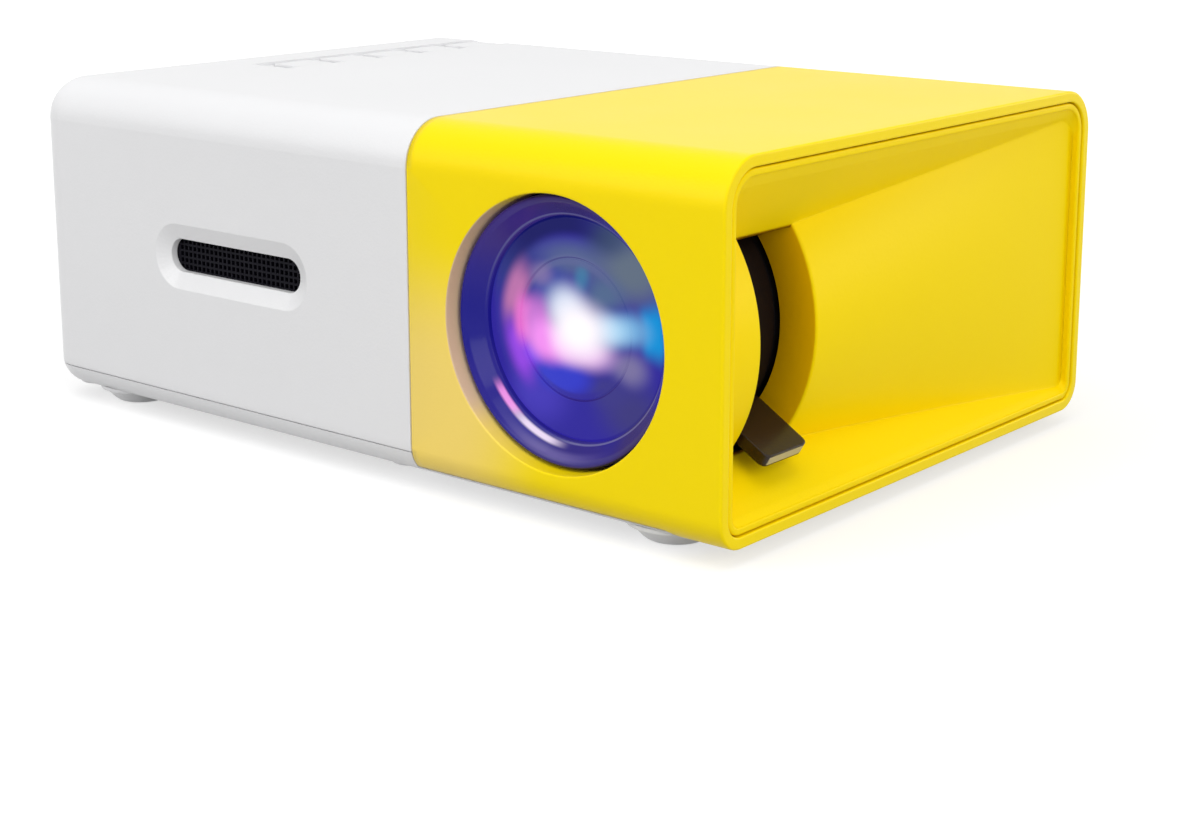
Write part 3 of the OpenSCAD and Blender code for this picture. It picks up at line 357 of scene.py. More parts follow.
def from_axis(tree):
    """Sockets of a point's X and Z measured from the lens axis, in metres, and of 1 in the front
    half of the case and 0 behind it, so that a mask doesn't reach the back."""
    place = tree.nodes.new("ShaderNodeTexCoord")
    axes = tree.nodes.new("ShaderNodeSeparateXYZ")
    tree.links.new(place.outputs["Object"], axes.inputs[0])
    return (value_of(tree, "SUBTRACT", axes.outputs["X"], axis_x),
            value_of(tree, "SUBTRACT", axes.outputs["Z"], axis_z),
            value_of(tree, "LESS_THAN", axes.outputs["Y"], 0.0))


def share_of(tree, value, centre, size):
    """How far a value lies from a centre, counted in sizes: (value - centre) / size."""
    return value_of(tree, "DIVIDE", value_of(tree, "SUBTRACT", value, centre), size)


def length_of(tree, first, second):
    """Length of the flat vector of two values: the square root of the sum of their squares."""
    squares = [value_of(tree, "MULTIPLY", part, part) for part in (first, second)]
    return value_of(tree, "SQRT", value_of(tree, "ADD", *squares))


def falling(tree, value, start, end):
    """1 where the value is below start, 0 above end, smooth between them."""
    fall = tree.nodes.new("ShaderNodeMapRange")
    fall.interpolation_type = "SMOOTHERSTEP"
    fall.inputs["To Min"].default_value = 1.0
    fall.inputs["To Max"].default_value = 0.0
    for name, source in (("Value", value), ("From Min", start), ("From Max", end)):
        if isinstance(source, (int, float)):
            fall.inputs[name].default_value = source
        else:
            tree.links.new(source, fall.inputs[name])
    return fall.outputs["Result"]


# %% Round glow mask
glow, entry, leave = new_group(
    "glow_mask",
    [("Centre X", 0.0), ("Centre Z", 0.0), ("Width", 0.005), ("Height", 0.005), ("Core", 0.0)],
    [("Mask", "NodeSocketFloat")])
side, rise, ahead = from_axis(glow)
across = share_of(glow, side, entry.outputs["Centre X"], entry.outputs["Width"])
along = share_of(glow, rise, entry.outputs["Centre Z"], entry.outputs["Height"])
reach = length_of(glow, across, along)
glow.links.new(value_of(glow, "MULTIPLY", falling(glow, reach, entry.outputs["Core"], 1.0), ahead),
               leave.inputs["Mask"])

# %% Arc mask
arc, entry, leave = new_group(
    "arc_mask",
    [("Radius", 0.014), ("Half Width", 0.0005), ("Angle", 0.0), ("Half Angle", 0.5),
     ("Core", 0.3)],
    [("Mask", "NodeSocketFloat")])
side, rise, ahead = from_axis(arc)
radius = length_of(arc, side, rise)
off_radius = value_of(arc, "ABSOLUTE", share_of(arc, radius, entry.outputs["Radius"],
                                                entry.outputs["Half Width"]))
turn = value_of(arc, "SUBTRACT", value_of(arc, "ARCTAN2", rise, side), entry.outputs["Angle"])
nearest = arc.nodes.new("ShaderNodeMath")
nearest.operation = "WRAP"
nearest.inputs[1].default_value, nearest.inputs[2].default_value = math.pi, -math.pi
arc.links.new(turn, nearest.inputs[0])
off_angle = value_of(arc, "ABSOLUTE", value_of(arc, "DIVIDE", nearest.outputs[0],
                                               entry.outputs["Half Angle"]))
both_fall = value_of(arc, "MULTIPLY", falling(arc, off_radius, entry.outputs["Core"], 1.0),
                     falling(arc, off_angle, entry.outputs["Core"], 1.0))
arc.links.new(value_of(arc, "MULTIPLY", both_fall, ahead), leave.inputs["Mask"])
print("groups", glow.name, arc.name)


# %% Paint in layers
def glow_at(x, z, width, height, core=0.0):
    """Settings of a glow, in mm from the lens axis."""
    return glow, (x * MM, z * MM, width * MM, height * MM, core)


def arc_at(radius, half_width, angle, half_angle, core=0.3):
    """Settings of an arc, in mm and degrees; 0 degrees points to +X and 90 degrees up."""
    return arc, (radius * MM, half_width * MM, math.radians(angle), math.radians(half_angle), core)


def painted(mat, ground, layers, base_share=None, glow_share=0.0):
    """Lays colours over a ground, each through its mask, in layers of ((group, settings), colour,
    strength): new paint = old + (colour - old) x mask x strength. A ground of None is the
    material's own colour. The base colour gets base_share of the paint, and with glow_share the
    paint shines a little by itself."""
    tree = mat.node_tree
    shader = tree.nodes["Principled BSDF"]
    paint = shader.inputs["Base Color"].links[0].from_socket if ground is None else None
    for (group, settings), colour, strength in layers:
        patch = tree.nodes.new("ShaderNodeGroup")
        patch.node_tree = group
        for socket, number in zip(patch.inputs, settings):
            socket.default_value = number
        mix = tree.nodes.new("ShaderNodeMix")
        mix.data_type = "RGBA"
        share = value_of(tree, "MULTIPLY", patch.outputs["Mask"], strength)
        tree.links.new(share, mix.inputs["Factor"])
        if paint is None:
            mix.inputs["A"].default_value = (*ground, 1)
        else:
            tree.links.new(paint, mix.inputs["A"])
        mix.inputs["B"].default_value = (*colour, 1)
        paint = mix.outputs["Result"]
    if glow_share:
        tree.links.new(paint, shader.inputs["Emission Color"])
        shader.inputs["Emission Strength"].default_value = glow_share
    if base_share is not None:
        dim = tree.nodes.new("ShaderNodeMix")
        dim.data_type = "RGBA"
        dim.inputs["Factor"].default_value = base_share
        dim.inputs["A"].default_value = (0, 0, 0, 1)
        tree.links.new(paint, dim.inputs["B"])
        paint = dim.outputs["Result"]
    tree.links.new(paint, shader.inputs["Base Color"])


# %% [markdown]
# ## Painted light round the lens
# The front glass is painted from its dark blue rim to the white heart, with magenta on one side and
# cyan on the other, and shines a little as if lit from behind: a painted glow over painted
# reflections. The ring keeps an indigo gloss with painted reflections and two painted highlights,
# bright arcs at its lower left, and shines a little too. The sleeve is painted creamier beside the
# lens, as if lit by its glow, the wall of the lens hole is painted tan as if lit, the wall at the
# lever's window is painted the orange of light bounced into its shade, and the lever's end is
# painted pale.
#
# These patches could be an image, but masks on the lens axis stay sharp at any size, move with
# their piece and can be changed one by one. Each line below is one patch: where it lies, its
# colour, and how much of it covers what is under it.

# %% Glass with a painted glow
# its colours are a painted glow and painted reflections, and it shines by itself
glass_painted_glow = finish("glass_painted_glow", (0.02, 0.02, 0.1), 0.09, depth=0.0, edge_r=0.00005,
                      spread=0.02, coat=0.03, specular=0.08)
painted(glass_painted_glow, (0.026, 0.018, 0.31), [
    # painted glow and reflection in the outer zone: violet below, a grey-green sheen above, and a
    # dark band at the upper left
    (glow_at(-6, -9, 8, 6), (0.058, 0.040, 0.47), 0.9),
    (glow_at(9, -9, 9, 7), (0.045, 0.040, 0.19), 0.9),
    (glow_at(-10, 7, 8, 8), (0.024, 0.035, 0.21), 0.9),
    (glow_at(0, 8.6, 10, 4), (0.093, 0.13, 0.26), 0.9),
    (glow_at(9, 8.5, 9, 7, 0.1), (0.12, 0.16, 0.21), 0.95),
    (glow_at(5, 12, 6, 4), (0.04, 0.07, 0.14), 0.9),
    (arc_at(13.2, 2.6, 108, 55, 0.2), (0.006, 0.007, 0.12), 1.0),
    # painted reflection: the grey-blue upper half of the eye and the pale line round it
    (glow_at(-3, 4, 6, 5), (0.05, 0.09, 0.37), 0.9),
    (glow_at(4.8, 5.0, 5, 3.6), (0.085, 0.145, 0.26), 0.9),
    (glow_at(1.4, 6.6, 1.9, 2.8), (0.05, 0.22, 0.38), 0.7),
    (arc_at(8.6, 1.0, 95, 75, 0.2), (0.11, 0.13, 0.30), 0.7),
    # painted glow: rose, purple and magenta at the left, cyan at the right
    (arc_at(10.2, 2.7, 160, 34, 0.1), (0.50, 0.17, 0.40), 0.95),
    (arc_at(9.4, 3.4, 203, 36, 0.1), (0.30, 0.06, 0.76), 0.95),
    (arc_at(8.2, 2.6, 178, 32, 0.1), (0.84, 0.17, 0.62), 0.9),
    (arc_at(12.3, 2.6, 6, 22, 0.2), (0.0, 0.27, 0.66), 1.0),
    (glow_at(9.0, 1.2, 4.6, 3.4), (0.17, 0.44, 0.74), 0.85),
    # painted glow, darker in the lower half: mauve at the right, deep blue at the left
    (glow_at(8.6, -3.6, 4.6, 3.6), (0.24, 0.21, 0.36), 0.75),
    (glow_at(5.2, -7, 5, 3.5), (0.045, 0.040, 0.23), 0.9),
    (glow_at(-1.8, -5.8, 6.8, 3.6, 0.3), (0.030, 0.042, 0.57), 0.95),
    (arc_at(8.3, 0.7, 268, 62, 0.0), (0.028, 0.02, 0.30), 0.8),
    # painted glow: pink that turns to the white heart
    (glow_at(-6.3, -3.8, 3, 2.4), (0.19, 0.07, 0.85), 0.8),
    (glow_at(-5.5, 0.9, 4.6, 4.4), (0.64, 0.20, 0.68), 0.85),
    (glow_at(-5.2, 6.2, 3.4, 2.4), (0.24, 0.18, 0.38), 0.7),
    (glow_at(-3.9, -1.8, 5.8, 4.2, 0.15), (0.90, 0.28, 0.88), 0.95),
    (glow_at(-0.6, -2.0, 4.6, 3.8), (0.97, 0.56, 0.95), 0.9),
    (glow_at(2.6, -2.4, 6.2, 3.5), (0.88, 0.54, 0.88), 0.9),
    (glow_at(6, 0.8, 4.5, 3.4), (0.45, 0.74, 0.95), 0.85),
    (glow_at(-0.8, 3.0, 5.0, 4.2), (0.74, 0.81, 0.95), 0.85),
    (glow_at(1.4, 0.3, 7.0, 5.4, 0.1), (1.0, 0.95, 1.0), 1.0),
    # the dark groove round the eye
    (arc_at(8.85, 0.14, 0, 180), (0.03, 0.015, 0.15), 0.75),
], base_share=0.12, glow_share=0.95)

# %% Ring gloss with painted highlights
# the ring's colour is painted reflection and highlights, and it shines a little by itself
painted(barrel_gloss, (0.022, 0.016, 0.26), [
    # painted reflection: the indigo lighter and darker round the ring, and its dark outer edge
    (glow_at(-10, 13, 12, 10, 0.2), (0.048, 0.026, 0.22), 0.9),
    (glow_at(2, 17, 14, 6, 0.2), (0.042, 0.024, 0.14), 0.9),
    (glow_at(-16, -1, 5, 8, 0.2), (0.010, 0.009, 0.25), 0.9),
    (glow_at(3, -16, 14, 4, 0.3), (0.045, 0.033, 0.21), 0.9),
    (glow_at(12, -11, 8, 7, 0.2), (0.055, 0.036, 0.12), 0.8),
    (glow_at(16, 1, 5, 8, 0.1), (0.14, 0.13, 0.25), 0.7),
    (arc_at(16.75, 0.3, 0, 180, 0.3), (0.004, 0.002, 0.010), 0.95),
    # painted highlights: a broad sheen, the thin bright inner edge and the two bright arcs
    (arc_at(15.6, 0.75, 262, 40, 0.0), (0.15, 0.12, 0.36), 0.8),
    (arc_at(14.25, 0.16, 100, 90, 0.3), (0.12, 0.12, 0.33), 0.7),
    (arc_at(14.25, 0.16, 300, 60, 0.3), (0.20, 0.19, 0.40), 0.6),
    (arc_at(14.6, 0.42, 225, 15, 0.2), (0.88, 0.30, 0.80), 1.0),
    (arc_at(14.65, 0.40, 248, 23, 0.2), (0.85, 0.72, 0.90), 1.0),
], base_share=0.5, glow_share=0.5)

# %% Sleeve, scoop and lever
painted(yellow_plastic, None, [
    # painted glow from the lens: cream at its lower left, and painted light on the wall of the lens
    # hole, in tan
    (glow_at(-19, -12, 20, 24, 0.15), (0.97, 0.72, 0.20), 0.85),
    (arc_at(17.1, 0.24, 172, 64, 0.6), (0.76, 0.55, 0.36), 0.9),
])
painted(scoop_plastic, None, [
    # painted shade: the wall that ends the lever's window, in the deeper orange of light bounced
    # off the yellow
    (arc_at(19.7, 3.15, 0, 80, 0.95), (1.0, 0.56, 0.0), 0.9),
])
painted(lever_plastic, None, [
    # the pale end of the lever, which rests 31 degrees below level
    (arc_at(27.6, 0.5, -31, 1.4, 0.8), (0.50, 0.46, 0.34), 0.95),
])
print("materials:", len(bpy.data.materials))

# %% Dress the CAD nodes
wear(white_plastic, "top_housing", "bottom_cover", "key_1", "key_2", "key_3", "key_4", "key_5")
wear(yellow_plastic, "yellow_sleeve", "side_scoop")
wear(black_sheet, "front_mesh")
wear(ring_plastic, "focus_ring")
wear(black_plastic, "lens_mount", "lens_retainer", "engine_case", "engine_lid",
     "fan_frame", "fan_rotor", "earphone_jack", "power_inlet", "speaker_frame")
wear(lever_plastic, "focus_lever")
wear(barrel_gloss, "lens_barrel")
wear(clear, "front_lens", "middle_lens", "rear_lens", "condenser_lens", "front_fresnel",
     "rear_fresnel", "heat_glass")
wear(board_mask, "keypad_board", "main_board")
wear(aluminium, "heatsink", "led_board")
wear(steel, "hdmi_socket", "usb_socket", "card_socket", "speaker_magnet", "case_screws")
wear(brass, "cam_followers", "tripod_insert")
wear(epoxy, "board_parts")
wear(yellow_nylon, "av_jack")
wear(dark_resin, "infrared_receiver")
wear(paper_cone, "speaker_cone")
wear(phosphor, "led_emitter")
wear(silvering, "mirror")
wear(panel_glass, "lcd_panel")
print("CAD nodes dressed:", sum(bool(node.data.materials) for node in nodes.values()))

# %% [markdown]
# ## Surfaces made with numpy
# A new piece is a grid of points: rows run one way over the surface and columns the other. The
# whole grid is worked out as arrays, and its quads follow from the numbers of rows and columns.
# Corners of a profile are rounded with a short curve, because a moulded edge is never sharp.

# %% Grid helpers
def grid_quads(rows, cols, loop_rows=False, loop_cols=False):
    """Quads between neighbouring rows and columns; a loop joins the last one back to the first."""
    r = np.arange(rows if loop_rows else rows - 1)[:, None]
    c = np.arange(cols if loop_cols else cols - 1)[None, :]
    r0, r1, c0, c1 = r * cols, (r + 1) % rows * cols, c, (c + 1) % cols
    return np.stack(np.broadcast_arrays(r0 + c0, r0 + c1, r1 + c1, r1 + c0), -1).reshape(-1, 4)


def bend(a, c, b, t):
    """The curve (1-t)^2 A + 2t(1-t) C + t^2 B, which leaves A towards C and comes in to B."""
    return (1 - t) ** 2 * a + 2 * t * (1 - t) * c + t ** 2 * b


def soften(corners, radius, steps=6, closed=False):
    """Rounds each corner C of a path with a bend. Its ends A and B lie radius away from C along
    its two sides, or closer where a side is short."""
    p = np.asarray(corners, float)
    back, ahead = np.roll(p, 1, 0) - p, np.roll(p, -1, 0) - p
    long_b = np.linalg.norm(back, axis=1, keepdims=True)
    long_a = np.linalg.norm(ahead, axis=1, keepdims=True)
    reach = np.minimum(np.broadcast_to(np.reshape(radius, (-1, 1)), long_a.shape),
                       0.48 * np.minimum(long_a, long_b))
    a, b = p + back / long_b * reach, p + ahead / long_a * reach
    curve = bend(a[:, None], p[:, None], b[:, None], np.linspace(0, 1, steps)[None, :, None])
    if closed:
        return curve.reshape(-1, p.shape[1])
    return np.concatenate([p[:1], curve[1:-1].reshape(-1, p.shape[1]), p[-1:]])


# in metres: points closer than the first become one, and edges shorter than the second go
MERGE_WITHIN, SLIVER = 0.000002, 0.000001


def report(piece):
    """Prints how many faces a piece has, and how many of its edges are open."""
    shape = bmesh.new()
    shape.from_mesh(piece.data)
    open_edges = sum(edge.is_boundary for edge in shape.edges)
    print(piece.name, "faces:", len(shape.faces), "open edges:", open_edges)
    shape.free()


def make_piece(name, grids, material, body, stands_for=(), without=()):
    """One mesh piece from grids of points in mm, each given as (points[rows, cols, 3], loop_rows,
    loop_cols). without lists blocks (first row, last row, first column, last column) of the first
    grid whose quads are left out. A Weighted Normal modifier keeps the flat areas flat."""
    points, quads, first = [], [], 0
    for grid, loop_rows, loop_cols in grids:
        rows, cols = grid.shape[:2]
        made = grid_quads(rows, cols, loop_rows, loop_cols)
        if first == 0:
            row, col = made // cols, made % cols
            for r0, r1, c0, c1 in without:
                inside = ((row >= r0) & (row <= r1) & (col >= c0) & (col <= c1)).all(1)
                made = made[~inside]
                row, col = row[~inside], col[~inside]
        points.append(grid.reshape(-1, 3))
        quads.append(made + first)
        first += rows * cols
    points, quads = np.concatenate(points) * MM, np.concatenate(quads).astype(np.int32)
    mesh = bpy.data.meshes.new(name)
    mesh.vertices.add(len(points))
    mesh.vertices.foreach_set("co", points.astype(np.float32).ravel())
    mesh.loops.add(quads.size)
    mesh.loops.foreach_set("vertex_index", quads.ravel())
    mesh.polygons.add(len(quads))
    mesh.polygons.foreach_set("loop_start", np.arange(0, quads.size, 4, dtype=np.int32))
    mesh.update(calc_edges=True)
    tidy = bmesh.new()
    tidy.from_mesh(mesh)
    bmesh.ops.remove_doubles(tidy, verts=tidy.verts, dist=MERGE_WITHIN)
    bmesh.ops.dissolve_degenerate(tidy, edges=tidy.edges, dist=SLIVER)
    bmesh.ops.recalc_face_normals(tidy, faces=tidy.faces)
    tidy.to_mesh(mesh)
    tidy.free()
    mesh.validate()
    mesh.polygons.foreach_set("use_smooth", np.ones(len(mesh.polygons), bool))
    piece = bpy.data.objects.new(name, mesh)
    scene.collection.objects.link(piece)
    mesh.materials.append(material)
    piece.modifiers.new("even_flats", "WEIGHTED_NORMAL")
    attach(piece, body)
    if stands_for:
        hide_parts(*stands_for)
    report(piece)
    return piece


# %% [markdown]
# ## Places that the pieces share
# The sizes come from the boxes of the CAD nodes, so the new surfaces land exactly where the CAD
# solids are. The lens axis runs along Y through the middle of the barrel.

# %% Places
def box_mm(node):
    """Lowest and highest corner of a CAD node, in mm."""
    return [np.array(corner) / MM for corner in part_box(node)]


barrel_lo, barrel_hi = box_mm("lens_barrel")
sleeve_lo, sleeve_hi = box_mm("yellow_sleeve")
scoop_hi, ring_hi = box_mm("side_scoop")[1], box_mm("focus_ring")[1]
lens_x, lens_z = (barrel_lo[0] + barrel_hi[0]) / 2, (barrel_lo[2] + barrel_hi[2]) / 2
face_y = barrel_lo[1]
bezel_r = (barrel_hi[0] - barrel_lo[0]) / 2
print("lens axis at x", round(lens_x, 2), "z", round(lens_z, 2), "ring radius", round(bezel_r, 2))


def about_axis(profile, angle):
    """Each (radius, y) of a profile at each angle a about the lens axis: x = axis + r cos a and
    z = axis + r sin a."""
    profile = np.asarray(profile, float)
    r, y = profile[:, :1], profile[:, 1:2]
    return np.stack([lens_x + r * np.cos(angle), y + 0 * angle, lens_z + r * np.sin(angle)], -1)


def turned(profile, steps=160, start=0.0, end=360.0):
    """A profile turned about the lens axis from one angle to another, in degrees."""
    whole = abs(end - start) >= 360
    return about_axis(profile, np.radians(np.linspace(start, end, steps, endpoint=not whole)))


# %% [markdown]
# ## The lens barrel and its front ring
# The barrel is a turned part. Its front is a glossy funnel that leads the eye from the edge of the
# hole down to the glass. It could be bevelled by hand, but a turned part is exactly what a profile
# spun round an axis gives, and each corner of the profile has its own small radius.

# %% Lens barrel
# a profile of (radius, y) in mm, with the radius of each of its corners after it
glass_r, tube_r, tube_in = 14.0, 14.2, 12.6
funnel_y, flange_y = face_y + 2.3, face_y + 4.0
barrel_profile = soften(
    [(glass_r, flange_y), (glass_r, funnel_y + 0.15), (glass_r + 0.35, funnel_y),
     (bezel_r - 1.0, face_y + 0.3), (bezel_r - 0.45, face_y), (bezel_r, face_y + 0.4),
     (bezel_r, flange_y), (tube_r, flange_y), (tube_r, barrel_hi[1]), (tube_in, barrel_hi[1]),
     (tube_in, flange_y)],
    [0.1, 0.12, 0.3, 0.6, 0.3, 0.3, 0.1, 0.1, 0.1, 0.1, 0.1], closed=True)
make_piece("lens_barrel_skin", [(turned(barrel_profile), True, True)], barrel_gloss, "lens",
           ["lens_barrel"])

# %% [markdown]
# ## The front glass
# The front lens has a flat rim, a hair-fine groove and a raised eye in its middle. Its colours are
# painted light: a painted glow, as if from the lamp behind it, with a white heart and a blush of
# magenta and cyan on either side, over painted reflections of its coating, deep blue at the edge.
# Separate discs could be stacked for these, but one turned profile holds the eye, the groove and
# the rim without a gap between them.

# %% Front glass
# the eye rises by eye_height (1 - (r / eye_r)^2) over the rim
eye_r, eye_height, rim_y = 8.7, 0.9, face_y + 2.7
spread_r = np.linspace(0.0, eye_r - 0.12, 26)
dome = np.stack([spread_r, rim_y - eye_height * (1 - (spread_r / eye_r) ** 2)], 1)
rim = soften([(eye_r - 0.1, rim_y - 0.02), (eye_r - 0.02, rim_y + 0.3), (eye_r + 0.14, rim_y + 0.3),
              (eye_r + 0.22, rim_y), (glass_r - 0.35, rim_y + 0.05), (glass_r - 0.05, rim_y + 0.3),
              (glass_r - 0.05, rim_y + 1.3), (0.0, rim_y + 1.3)], 0.08)
make_piece("front_glass", [(turned(np.concatenate([dome, rim])), False, True)], glass_painted_glow,
           "lens", ["front_lens"])

# %% [markdown]
# ## The side scoop
# The hollow end of the case has a rounded frame, walls that slope inwards, and a panel that starts
# as a round wall at the lever's window and flattens towards the rear. The panel is a ruled
# surface: straight lines join each point of an arc to a point of an upright line. The frame and
# the sloping walls are one closed section carried inwards through loops of changing size. Edge
# loops could be bridged by hand for this, but loops that are worked out keep to the case's sizes.

# %% Scoop sizes
# the outside: its end face, its six sides and the radii of its upper and lower edges
face_x = scoop_hi[0]
y_f, y_b = sleeve_lo[1], sleeve_hi[1]
z_lo, z_hi = sleeve_lo[2], sleeve_hi[2]
top_r, low_r, corner_steps = 6.0, 4.0, 12
# the thickness of the walls of the sleeve and of the scoop
sleeve_wall, scoop_wall = 1.5, 1.4
# the rim: how far in it starts, and how wide, how deep and how long it is
rim_in, rim_w, rim_depth, rim_long = 1.7, 0.9, 0.8, 3.0
open_in = rim_in + rim_w
# the round wall about the lens axis, whose top would be past_rim above the opening, and the ends
# of the lever's window in it
past_rim, win_y0, win_y1 = 1.8, y_f + 11.0, y_f + 22.5
drum_r = z_hi - open_in - lens_z + past_rim
# the panel: its reach above and below the lens axis, how far it runs on behind the ceiling and
# the floor and behind the rear wall, and its distances from the round wall and the end face
up, down, tuck, rear_tuck = 13.2, 15.8, 0.9, 0.2
wall_gap, face_gap = 0.6, 0.95
panel_hi, panel_lo = lens_z + up, lens_z - down
panel_x0 = lens_x + math.sqrt(drum_r ** 2 - up ** 2) + wall_gap
panel_x1, panel_y1 = face_x - face_gap, y_b - open_in + rear_tuck
print("scoop: round wall", round(drum_r, 2), "mm, panel from x", round(panel_x0, 2), "to",
      round(panel_x1, 2))


def ceiling_z(x):
    """Height of the scoop's ceiling: a straight slope from the panel's top to the rim."""
    return panel_hi + (z_hi - open_in - panel_hi) * (x - panel_x0) / (face_x - panel_x0)


def floor_z(x):
    """Height of the scoop's floor: a straight slope from the panel's foot to the rim."""
    return panel_lo - (panel_lo - z_lo - open_in) * (x - panel_x0) / (face_x - panel_x0)


def section_loop(x, y0, y1, z0, z1, r_top, r_low):
    """A rectangle in Y and Z with round corners: corner centre + r (cos a, sin a), quarter by
    quarter, with the same count of points whatever the radii are. x is one place, or one for the
    upper and one for the lower corners."""
    quarter = np.linspace(0, np.pi / 2, corner_steps)
    centres = np.array([(y1 - r_top, z1 - r_top), (y0 + r_top, z1 - r_top),
                        (y0 + r_low, z0 + r_low), (y1 - r_low, z0 + r_low)])
    radii = np.array([r_top, r_top, r_low, r_low])
    angle = quarter[None, :] + np.arange(4)[:, None] * np.pi / 2
    y = centres[:, :1] + radii[:, None] * np.cos(angle)
    z = centres[:, 1:] + radii[:, None] * np.sin(angle)
    x_top, x_low = np.broadcast_to(x, 2)
    return np.stack([np.repeat([x_top, x_low], 2 * corner_steps), y.ravel(), z.ravel()], 1)


def inset_loop(x, inset):
    """The case's section at one x, moved inwards by inset all round, with round corners of at
    least 0.3 mm."""
    return section_loop(x, y_f + inset, y_b - inset, z_lo + inset, z_hi - inset,
                        max(top_r - inset, 0.3), max(low_r - inset, 0.3))


# %% Scoop frame and walls
deep_top, deep_low, back_gap = panel_x0 - 0.7, panel_x0 - 2.3, 0.6
rim_profile = soften([(face_x - rim_long, rim_in), (face_x, rim_in), (face_x, open_in),
                      (face_x - rim_depth, open_in)], 0.3, steps=7)[:-1]
frame_rows = [inset_loop(x, inset) for x, inset in rim_profile]


def slope_loop(k, grow=0.0):
    """The opening at depth k, from 0 at the rim to 1 at the round wall: x = rim + k (deepest x -
    rim), between the scoop's floor and ceiling. It is grown outwards by grow, and by half as much
    again at the floor and the ceiling."""
    top, low = [face_x - rim_depth + k * (deep - face_x + rim_depth)
                for deep in (deep_top, deep_low)]
    return section_loop((top, low), y_f + open_in - grow, y_b - open_in + grow,
                        floor_z(low) - grow * 1.5, ceiling_z(top) + grow * 1.5,
                        top_r - open_in, low_r - open_in)


slope_rows = [slope_loop(k) for k in np.linspace(0, 1, 16)]
back_rows = [slope_loop(k, back_gap) for k in np.linspace(1, 0.35, 6)]
frame_grid = np.stack(frame_rows + slope_rows + back_rows)

# %% Scoop panel
panel_rows, panel_cols, turn_steps = 48, 64, 7
turn_r, foot_gap = 0.35, 0.5


def ruled_panel():
    """P(s, t) = (1 - s) arc(t) + s line(t): the arc lies on the round wall at the window, and the
    line stands upright at the rear."""
    s = np.linspace(0, 1, panel_rows)[:, None]
    t = np.linspace(0, 1, panel_cols)[None, :]
    z_front = panel_lo - tuck + t * (panel_hi - panel_lo + 2 * tuck)
    x_front = lens_x + np.sqrt(drum_r ** 2 - (z_front - lens_z) ** 2)
    z_rear = floor_z(panel_x1) - tuck + t * (ceiling_z(panel_x1) - floor_z(panel_x1) + 2 * tuck)
    x = (1 - s) * x_front + s * panel_x1
    y = win_y1 + s * (panel_y1 - win_y1) + 0 * t
    z = (1 - s) * z_front + s * z_rear
    return np.stack([x, y, z], -1)


def rounded_turn(before, corner, after, radius):
    """The corner row of a grid, replaced by the rows of a bend whose ends lie radius away from it
    towards the row before and the row after."""
    a, b = [corner + (row - corner) / np.linalg.norm(row - corner, axis=1, keepdims=True) * radius
            for row in (before, after)]
    return bend(a, corner, b, np.linspace(0, 1, turn_steps)[:, None, None])


def slab(front, back):
    """Three grids of a solid wall: round it from the front rows to the back rows, and one for
    each of its two ends, between the first or last columns of both."""
    return [(np.concatenate([front, back[::-1]]), True, False),
            (np.stack([front[:, 0], back[:, 0]], 1), False, False),
            (np.stack([front[:, -1], back[:, -1]], 1), False, False)]


def capped(grid):
    """A grid with its first and last columns drawn together to their middle, which closes it."""
    ends = [np.broadcast_to(grid[:, k].mean(0), grid[:, k].shape)[:, None] for k in (0, -1)]
    return np.concatenate([ends[0], grid, ends[1]], 1)


panel = ruled_panel()
# the window's rear edge turns inwards and ends foot_gap outside the focus ring
axis_point = np.array([lens_x, win_y1, lens_z])
window_foot = axis_point + (panel[0] - axis_point) * (ring_hi[0] - lens_x + foot_gap) / drum_r
turn_rows = rounded_turn(window_foot, panel[0], panel[1], turn_r)
front_rows = np.concatenate([window_foot[None], turn_rows, panel[1:]])
inward, behind = np.array([-scoop_wall, 0, 0]), np.array([0, scoop_wall, 0])
offset = np.concatenate([[behind], np.broadcast_to(inward + behind, (len(turn_rows), 3)),
                         np.broadcast_to(inward, (len(panel) - 1, 3))])
panel_grids = slab(front_rows, front_rows + offset[:, None])

# %% Round walls at the window
low_angle, high_angle = [math.degrees(math.asin((reach + tuck) / drum_r)) for reach in (down, up)]
drum_y = y_f + sleeve_wall
drum_profile = soften([(drum_r, drum_y), (drum_r, win_y0), (drum_r - scoop_wall, win_y0),
                       (drum_r - scoop_wall, drum_y)], 0.25, closed=True)
drum_grid = capped(turned(drum_profile, 72, -low_angle, high_angle))
make_piece("scoop_skin", [(frame_grid, True, True), *panel_grids, (drum_grid, True, False)],
           scoop_plastic, "case", ["side_scoop"])

# %% [markdown]
# ## The yellow sleeve
# The sleeve is the coloured shell over the lens end. Its long edges are round, its open end has a
# small radius that catches the light, and so has the lens hole. A rounded box with a Boolean hole
# would be quicker, but its faces wouldn't follow the hole, and a small radius needs faces that do.
# So the shell is one section loop carried along X, out over the end and back inside. The flat
# block of quads at the front is left out, and in its place rows run from the block's edge to the
# round hole, through it, round the collar and back to the same block inside, so the whole skin
# stays closed.

# %% Sleeve shell
# the gap round the lens ring, and the wall and depth of the collar that goes in from the hole
hole_gap, collar_wall, collar_depth = 0.4, 1.2, 5.3
hole_r = bezel_r + hole_gap
collar_r = hole_r + collar_wall
# the seam, the end, and where the end's small radius starts
turn_depth = 0.7
seam_x, end_x, turn_x = sleeve_lo[0], sleeve_hi[0], sleeve_hi[0] - turn_depth
flat_cols, flat_rows = 36, 44


def shell_loop(x, inset):
    """The case's section at one x and inset, with extra points down its front flat."""
    loop = inset_loop(x, inset)
    top, low = loop[2 * corner_steps - 1], loop[2 * corner_steps]
    k = np.linspace(0, 1, flat_cols + 1)[1:-1, None]
    return np.concatenate([loop[:2 * corner_steps], top + (low - top) * k, loop[2 * corner_steps:]])


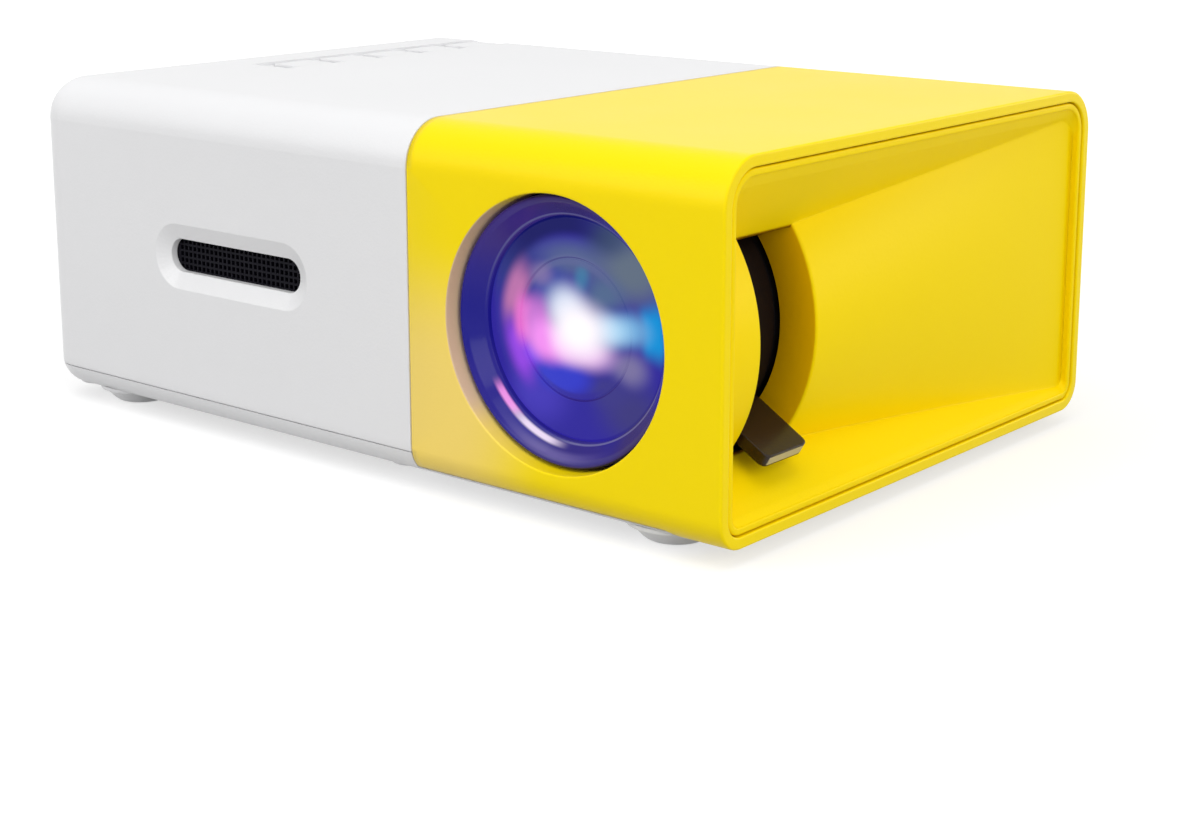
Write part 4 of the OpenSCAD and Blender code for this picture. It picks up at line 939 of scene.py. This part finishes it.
outer_x = np.linspace(seam_x, turn_x, flat_rows + 1)
end_turn = soften([(turn_x, 0.0), (end_x, 0.0), (end_x, sleeve_wall), (turn_x, sleeve_wall)],
                  [0, 0.6, 0.25, 0], steps=7)[1:-1]
shell = np.stack([shell_loop(x, 0.0) for x in outer_x]
                 + [shell_loop(x, inset) for x, inset in end_turn]
                 + [shell_loop(x, sleeve_wall) for x in outer_x[::-1]])
front_top, front_low = 2 * corner_steps - 1, 2 * corner_steps - 1 + flat_cols
last = len(shell) - 1


def block_edge(block):
    """The points round the edge of a block of the shell, along X, down, back and up."""
    return np.concatenate([block[:-1, 0], block[-1, :-1], block[:0:-1, -1], block[0, :0:-1]])


outer_edge = block_edge(shell[:flat_rows + 1, front_top:front_low + 1])
inner_edge = block_edge(shell[last - flat_rows:, front_top:front_low + 1][::-1])


def hole_rows(edge, profile):
    """Circles about the lens axis with one point for each point of the edge, in its direction."""
    return about_axis(profile, np.arctan2(edge[:, 2] - lens_z, edge[:, 0] - lens_x))


hole_profile = soften([(hole_r + 0.45, y_f), (hole_r, y_f), (hole_r, y_f + collar_depth),
                       (collar_r, y_f + collar_depth), (collar_r, y_f + sleeve_wall)],
                      [0, 0.35, 0.1, 0.1, 0], steps=7)
hole = np.concatenate([outer_edge[None], hole_rows(outer_edge, hole_profile), inner_edge[None]])
sleeve = make_piece("sleeve_skin", [(shell, True, True), (hole, False, True)], yellow_plastic,
                    "case", ["yellow_sleeve"],
                    without=[(0, flat_rows, front_top, front_low),
                             (last - flat_rows, last, front_top, front_low)])

# %% [markdown]
# ## Room for the bottom cover
# The white bottom cover has a tongue under the sleeve, and the sleeve stands on its edge, so a
# white strip shows below the yellow. The sleeve has an opening of the tongue's outline: a shallow
# one that takes the tongue, and a smaller one through the wall. Where a cut goes across a rounded
# edge, rows and columns can't follow it, so a Boolean with two flat blocks makes the opening, and
# its result becomes the mesh.

# %% Opening for the tongue
tongue_end, tongue_r, tongue_z, opening_z = end_x - 5.5, 8.0, z_lo + 1.1, z_lo + 2.5
# the gap round the tongue, the ledge over its edge, and how far the blocks pass the sleeve
clearance, ledge, beyond = 0.15, 0.85, 1.0


def tongue_outline(grow, half):
    """The tongue's plan grown by grow: straight sides at +-half in Y, and quarter circles at its
    end, whose points are centre + r (cos a, sin a)."""
    r, centre_y = tongue_r + grow, y_b - tongue_r
    angle = np.linspace(-np.pi / 2, 0, 16)
    x, y = tongue_end - tongue_r + r * np.cos(angle), -centre_y + r * np.sin(angle)
    keep = y >= -half
    x, y = x[keep], y[keep]
    near = np.array([[seam_x - beyond, -half], [x[0], -half]])
    side = np.concatenate([near, np.stack([x, y], 1)])
    return np.concatenate([side, side[::-1] * (1, -1)])


def cut_away(piece, outline, low, high):
    """Takes the block over an outline, from one height to another, out of a piece."""
    n = len(outline)
    corners = np.concatenate([np.c_[outline, np.full(n, z)] for z in (low, high)]) * MM
    sides = [(k, (k + 1) % n, (k + 1) % n + n, k + n) for k in range(n)]
    lids = [tuple(range(n))[::-1], tuple(range(n, 2 * n))]
    block_mesh = bpy.data.meshes.new("block")
    block_mesh.from_pydata(corners.tolist(), [], [*lids, *sides])
    block = bpy.data.objects.new("block", block_mesh)
    scene.collection.objects.link(block)
    piece.modifiers.remove(piece.modifiers["even_flats"])
    cut = piece.modifiers.new("cut", "BOOLEAN")
    cut.object, cut.operation, cut.solver = block, "DIFFERENCE", "EXACT"
    seen = piece.evaluated_get(bpy.context.evaluated_depsgraph_get())
    made = bpy.data.meshes.new_from_object(seen)
    piece.modifiers.remove(cut)
    piece.data = made
    piece.modifiers.new("even_flats", "WEIGHTED_NORMAL")
    bpy.data.objects.remove(block)
    report(piece)


cut_away(sleeve, tongue_outline(clearance, y_b + beyond), z_lo - beyond, tongue_z)
cut_away(sleeve, tongue_outline(-ledge, y_b - low_r), z_lo - beyond, opening_z)
